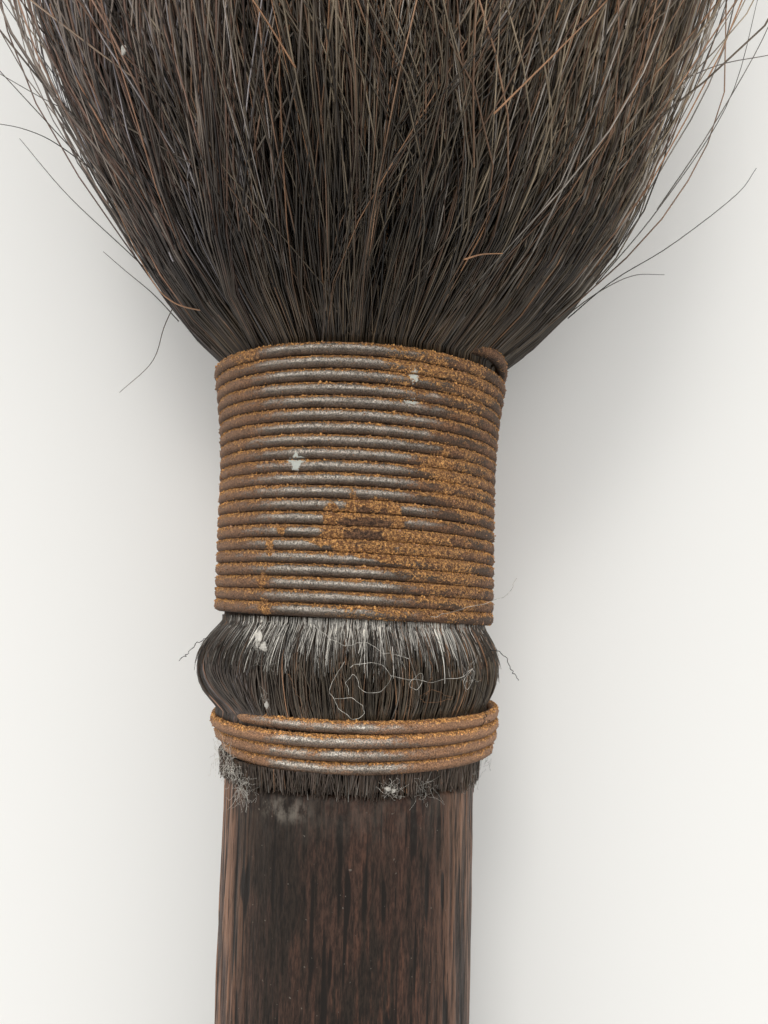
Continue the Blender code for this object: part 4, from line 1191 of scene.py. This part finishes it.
class WHISK_OT_lint(bpy.types.Operator):
    """Lays small things that caught in the hair: curled threads, fluff and single hairs on the bulge"""
    bl_idname = "whisk.lint"
    bl_label = "Threads and fluff"

    points = 60

    def execute(self, context):
        looks = context.scene.whisk_hair
        rng = np.random.default_rng(23)
        material = tinted("lint", 0.65, 0.3)
        self.threads("pale_threads", PALE_THREADS, 0.055 * MM, solid(looks.pale, 1.5), rng, material)
        self.threads("brown_threads", BROWN_THREADS, 0.052 * MM, solid(looks.copper, 0.9), rng, material)
        self.threads("dark_threads", DARK_THREADS, 0.09 * MM, solid(looks.dark), rng, material)
        self.fluff(rng, looks, material)
        self.flakes(rng, looks, material)
        return {"FINISHED"}

    def threads(self, name, lines, thickness, tint, rng, material):
        """Smooth lines through places given by angle, place over the shoulder and distance from the axis, with a
        small random curl on each."""
        paths = []
        run = np.linspace(0, 1, self.points)
        for line in lines:
            angle, up, radius = smooth_line(line, self.points).T
            aside, lengthwise, out = (lattice_noise(run, 0, 19, int(rng.integers(999))) for _ in range(3))
            paths.append(round_axis((radius + 0.12 * out) * MM, np.radians(angle + 0.5 * aside),
                                    SHOULDER + (up + 0.11 * lengthwise) * MM))
        shades = tint * rng.uniform(0.3, 1.0, (len(lines), self.points, 1))
        radii = thickness / 2 * rng.uniform(0.6, 1.05, (len(lines), self.points))
        hair_piece(name, np.stack(paths), radii, shades, material, UPWARD)

    def fluff(self, rng, looks, material):
        """Fluff: fine fibres that start at random in a patch, each stepping on in a direction that wanders."""
        paths, shades = [], []
        for angle, up, radius, half, count, light in FLUFF:
            centre = round_axis(radius * MM, math.radians(angle), SHOULDER + up * MM)
            start = centre + rng.normal(0, 0.55 * half * MM, (count, 1, 3))
            heading = rng.normal(0, 1, (count, 1, 3)) + np.cumsum(rng.normal(0, 0.42, (count, 18, 3)), axis=1)
            stride = half * MM * rng.uniform(0.04, 0.16, (count, 1, 1))
            fibres = start + np.cumsum(unit(heading) * stride, axis=1)
            across, upward = (fibres - BUTT) @ ACROSS, (fibres - BUTT) @ UPWARD
            out = np.hypot(across, upward)
            wanted = radius * MM + np.clip(out - radius * MM, -0.05 * MM, 0.35 * MM)
            paths.append(fibres + (wanted - out)[..., None] * outward(np.arctan2(across, upward)))
            shades.append(solid(looks.pale, light) * rng.uniform(0.35, 1.1, (count, 18, 1)))
        hair_piece("fluff", np.concatenate(paths), 0.012 * MM, np.concatenate(shades), material, UPWARD)

    def flakes(self, rng, looks, material):
        """Rough flakes: balls drawn out along the handle, their skin pushed in and out by noise."""
        rings, columns = 12, 18
        turn = 2 * math.pi * np.arange(columns) / columns
        rise = math.pi * (np.arange(rings)[:, None] + 0.5) / rings
        for k, (angle, up, radius, wide, long, light) in enumerate(FLAKES):
            centre = round_axis(radius * MM, math.radians(angle), SHOULDER + up * MM)
            side, out = np.cross(outward(math.radians(angle)), ALONG), outward(math.radians(angle))
            rough = 1 + 0.42 * lattice_noise(turn / 2 / math.pi, rise * 2.2 + 9 * k, 7, 91)
            ring = np.sin(rise) * rough
            skin = (ring * np.cos(turn))[..., None] * side * wide + (ring * np.sin(turn))[..., None] * out * 0.2
            skin = centre + MM * (skin - (np.cos(rise) * rough)[..., None] * ALONG * long)
            corners, faces = wrapped_grid(skin)
            tint = solid(looks.pale, light) * rng.uniform(0.75, 1.1, (len(corners), 1))
            new_piece(f"flake_{k + 1}", corners, faces, material, [("tint", tint)])


# Angle in degrees, place over the shoulder in mm, and distance from the axis in mm
PALE_THREADS = (
    ((-0.9, 11.43, 15.0), (-4.4, 10.18, 15.2), (-5.1, 8.95, 15.1), (-3.1, 7.88, 14.9), (0.7, 6.97, 14.7),
     (4.4, 6.85, 14.6), (5.7, 7.4, 14.7), (4.2, 8.07, 14.9), (1.6, 8.46, 15.0), (-3.7, 8.34, 14.9)),
    ((0.5, 8.86, 15.2), (-0.2, 9.8, 15.3), (0.8, 10.41, 15.3), (2.4, 10.42, 15.2), (4.1, 9.5, 15.1),
     (7.3, 9.08, 15.0), (11.0, 9.31, 15.1), (13.6, 10.27, 15.2), (11.9, 11.09, 15.2), (8.1, 11.43, 15.3),
     (3.9, 11.33, 15.3), (0.7, 11.09, 15.2)),
    ((14.1, 10.55, 15.1), (19.7, 10.14, 15.2), (23.2, 10.64, 15.3), (25.0, 10.0, 15.2), (22.7, 9.18, 15.1),
     (20.7, 9.54, 15.2), (20.9, 10.14, 15.3), (26.9, 9.8, 15.2), (33.3, 10.03, 15.1), (40.5, 10.21, 15.2),
     (44.0, 10.96, 15.3), (46.7, 10.25, 15.2), (44.2, 9.13, 15.0), (41.3, 9.92, 15.1), (45.7, 11.1, 15.2)),
    ((-12.1, 14.6, 14.6), (-6.4, 13.44, 14.9), (-1.1, 12.93, 15.1), (5.3, 13.11, 15.1), (11.8, 12.32, 15.2),
     (19.6, 11.93, 15.1)),
    ((29.2, 15.31, 14.2), (38.0, 15.87, 14.15), (48.6, 16.37, 14.2), (68.4, 17.11, 14.3), (78.0, 17.43, 14.8),
     (79.7, 18.05, 15.4), (79.0, 19.2, 15.9)),
)
BROWN_THREADS = (
    ((25.1, 8.9, 15.0), (28.2, 9.16, 15.0), (33.4, 8.85, 14.9), (37.9, 8.54, 14.8), (33.5, 8.21, 14.8),
     (27.0, 8.2, 14.8), (24.2, 8.49, 14.9), (24.9, 8.84, 15.0)),
    ((26.9, 11.68, 15.2), (27.9, 10.84, 15.3), (26.7, 9.74, 15.3), (26.3, 8.72, 15.1)),
    ((-19.5, 10.4, 15.0), (-17.4, 9.2, 15.0), (-15.2, 8.0, 14.8), (-14.0, 7.0, 14.5)),
)
DARK_THREADS = (
    ((45.3, 10.76, 14.9), (49.1, 9.15, 15.3), (53.4, 7.35, 15.2), (56.5, 5.98, 14.7)),
    ((59.1, 12.57, 14.9), (66.9, 11.91, 15.5), (70.5, 10.65, 16.0), (78.5, 9.54, 16.4)),
    ((-62.0, 13.0, 14.9), (-70.0, 12.2, 15.6), (-76.0, 11.2, 16.2), (-80.0, 10.6, 16.8)),
)

# Angle in degrees, place over the shoulder, distance from the axis and half size in mm, fibres, brightness
FLUFF = (
    (-30.4, 12.95, 15.1, 0.7, 26, 1.0),
    (-27.7, 7.7, 14.8, 0.6, 9, 1.0),
    (-29.0, 10.5, 15.1, 1.1, 8, 0.8),
    (-54.0, 2.6, 13.9, 1.0, 34, 1.5),
    (-50.7, 1.4, 13.4, 1.0, 56, 1.6),
    (-45.4, 0.24, 13.0, 0.9, 60, 1.6),
    (-45.1, -0.9, 12.5, 0.7, 20, 1.3),
    (17.1, 0.68, 13.0, 0.55, 40, 1.3),
    (31.9, 0.5, 12.9, 0.9, 24, 0.9),
    (60.0, 1.0, 13.1, 1.1, 14, 0.6),
    (72.0, 2.0, 13.6, 1.2, 12, 0.6),
    (44.0, 10.2, 15.1, 0.8, 16, 0.9),
)

# Angle in degrees, place over the shoulder, distance from the axis, half width and half length in mm, brightness
FLAKES = (
    (-31.2, 13.2, 15.05, 0.30, 0.62, 1.25),
    (-29.0, 12.5, 15.05, 0.36, 0.34, 1.15),
    (-27.7, 7.6, 14.75, 0.16, 0.28, 1.0),
    (16.3, 0.76, 12.95, 0.26, 0.16, 1.1),
    (18.6, 0.60, 12.95, 0.20, 0.14, 1.0),
    (-40.3, 60.3, 29.8, 0.26, 0.36, 0.9),
)


# The stage


class WHISK_OT_stage(bpy.types.Operator):
    """Sets the pale table, the soft light and the camera, close above the binding"""
    bl_idname = "whisk.stage"
    bl_label = "Stage"

    # The camera was fitted to the edges of the handle and the turns of wire, in a frame of 768 by 1024 pixels
    focus_pixels = 950.0
    frame_height = 1024.0
    aim_along = 25.2 * MM
    distance = 95.725 * MM
    aim_across = -2.711 * MM
    aim_down = 0.457 * MM
    roll = 0.02606
    lean = 0.10345 + math.radians(1.5)
    lamp_place = np.array((-0.48, 1.63, 2.38))
    window = np.array((-0.04, 0.53, 0.85))

    def execute(self, context):
        looks = context.scene.whisk_stage
        scene = context.scene
        self.floor(looks)
        self.light(scene, looks)
        self.camera(scene)
        scene.view_settings.view_transform = "Standard"
        return {"FINISHED"}

    def floor(self, looks):
        finish = Finish("pale_table", 0.8, specular=0.2)
        cloud = finish.noise(9, 2)
        finish.set("Base Color", finish.mix(cloud, colour(looks.floor), shade(looks.floor, 0.985)))
        bpy.ops.mesh.primitive_plane_add(size=6.0, location=(0, 0, 0))
        floor = bpy.context.object
        floor.name = "table"
        floor.data.materials.append(finish.material)

    def light(self, scene, looks):
        world = bpy.data.worlds.new("room")
        scene.world = world
        world.use_nodes = True
        nodes, links = world.node_tree.nodes, world.node_tree.links
        background = nodes["Background"]
        background.inputs["Color"].default_value = (1.0, 1.0, 1.0, 1.0)
        towards_window = nodes.new("ShaderNodeVectorMath")
        towards_window.operation = "DOT_PRODUCT"
        towards_window.inputs[1].default_value = tuple(unit(self.window))
        links.new(nodes.new("ShaderNodeTexCoord").outputs["Generated"], towards_window.inputs[0])
        grade = nodes.new("ShaderNodeMapRange")
        links.new(towards_window.outputs["Value"], grade.inputs["Value"])
        grade.inputs["To Min"].default_value = looks.low_light
        grade.inputs["To Max"].default_value = looks.high_light
        rays = nodes.new("ShaderNodeLightPath").outputs
        pale = rays["Is Camera Ray"]
        for kind in ("Is Glossy Ray", "Is Transmission Ray"):
            either = nodes.new("ShaderNodeMath")
            either.operation = "MAXIMUM"
            links.new(pale, either.inputs[0])
            links.new(rays[kind], either.inputs[1])
            pale = either.outputs[0]
        seen = nodes.new("ShaderNodeMix")
        links.new(pale, seen.inputs[0])
        links.new(grade.outputs[0], seen.inputs[2])
        seen.inputs[3].default_value = looks.backdrop
        links.new(seen.outputs[0], background.inputs["Strength"])
        lamp = bpy.data.lights.new("large_soft_lamp", "AREA")
        lamp.shape = "SQUARE"
        lamp.size = looks.lamp_size
        lamp.energy = looks.lamp_power
        lamp.color = (1.0, 0.985, 0.96)
        obj = bpy.data.objects.new("large_soft_lamp", lamp)
        scene.collection.objects.link(obj)
        obj.location = self.lamp_place
        obj.rotation_euler = aim(self.lamp_place, np.zeros(3)).to_euler()

    def camera(self, scene):
        data = bpy.data.cameras.new("camera")
        data.sensor_fit = "AUTO"
        data.sensor_width = 36.0
        data.lens = self.focus_pixels * data.sensor_width / self.frame_height
        data.clip_start = 0.005
        data.clip_end = 50.0
        ahead = np.array((0.0, math.sin(self.lean), -math.cos(self.lean)))
        level = np.array((0.0, math.cos(self.lean), math.sin(self.lean)))
        right = math.cos(self.roll) * ACROSS + math.sin(self.roll) * level
        above = math.cos(self.roll) * level - math.sin(self.roll) * ACROSS
        aim_at = BUTT + (SHOULDER + self.aim_along) * ALONG
        place = aim_at - self.aim_across * right + self.aim_down * above - self.distance * ahead
        turn = Matrix([[*row] for row in np.stack([right, above, -ahead], axis=1)]).to_4x4()
        camera = bpy.data.objects.new("camera", data)
        scene.collection.objects.link(camera)
        camera.matrix_world = Matrix.Translation(place) @ turn
        scene.camera = camera


def aim(place, target):
    """Turn of a lamp at a place so that it shines at a target."""
    back = unit(place - target)
    side = unit(np.cross((0.0, 1.0, 0.0), back))
    return Matrix([[*row] for row in np.stack([side, np.cross(back, side), back], axis=1)])


class WHISK_PT_panel(bpy.types.Panel):
    """Lists the steps of the whisk"""
    bl_idname = "WHISK_PT_panel"
    bl_label = "Fly whisk"
    bl_space_type = "VIEW_3D"
    bl_region_type = "UI"
    bl_category = "Whisk"

    def draw(self, context):
        for step in STEPS:
            self.layout.operator(step.bl_idname)
        for group in GROUPS:
            looks = getattr(context.scene, group)
            for key in looks.__annotations__:
                self.layout.prop(looks, key)


GROUPS = {"whisk_handle": HandleLooks, "whisk_wire": WireLooks, "whisk_hair": HairLooks, "whisk_stage": StageLooks}
STEPS = (WHISK_OT_handle, WHISK_OT_bound_hair, WHISK_OT_windings, WHISK_OT_tuft, WHISK_OT_lint, WHISK_OT_stage)
CLASSES = (*GROUPS.values(), *STEPS, WHISK_PT_panel)


def register():
    for cls in CLASSES:
        bpy.utils.register_class(cls)
    for name, group in GROUPS.items():
        setattr(bpy.types.Scene, name, PointerProperty(type=group))


def unregister():
    for name in GROUPS:
        delattr(bpy.types.Scene, name)
    for cls in reversed(CLASSES):
        bpy.utils.unregister_class(cls)


def main():
    register()
    bpy.ops.whisk.handle()
    bpy.ops.whisk.bound_hair()
    bpy.ops.whisk.windings()
    bpy.ops.whisk.tuft()
    bpy.ops.whisk.lint()
    bpy.ops.whisk.stage()


if __name__ == "__main__":
    main()
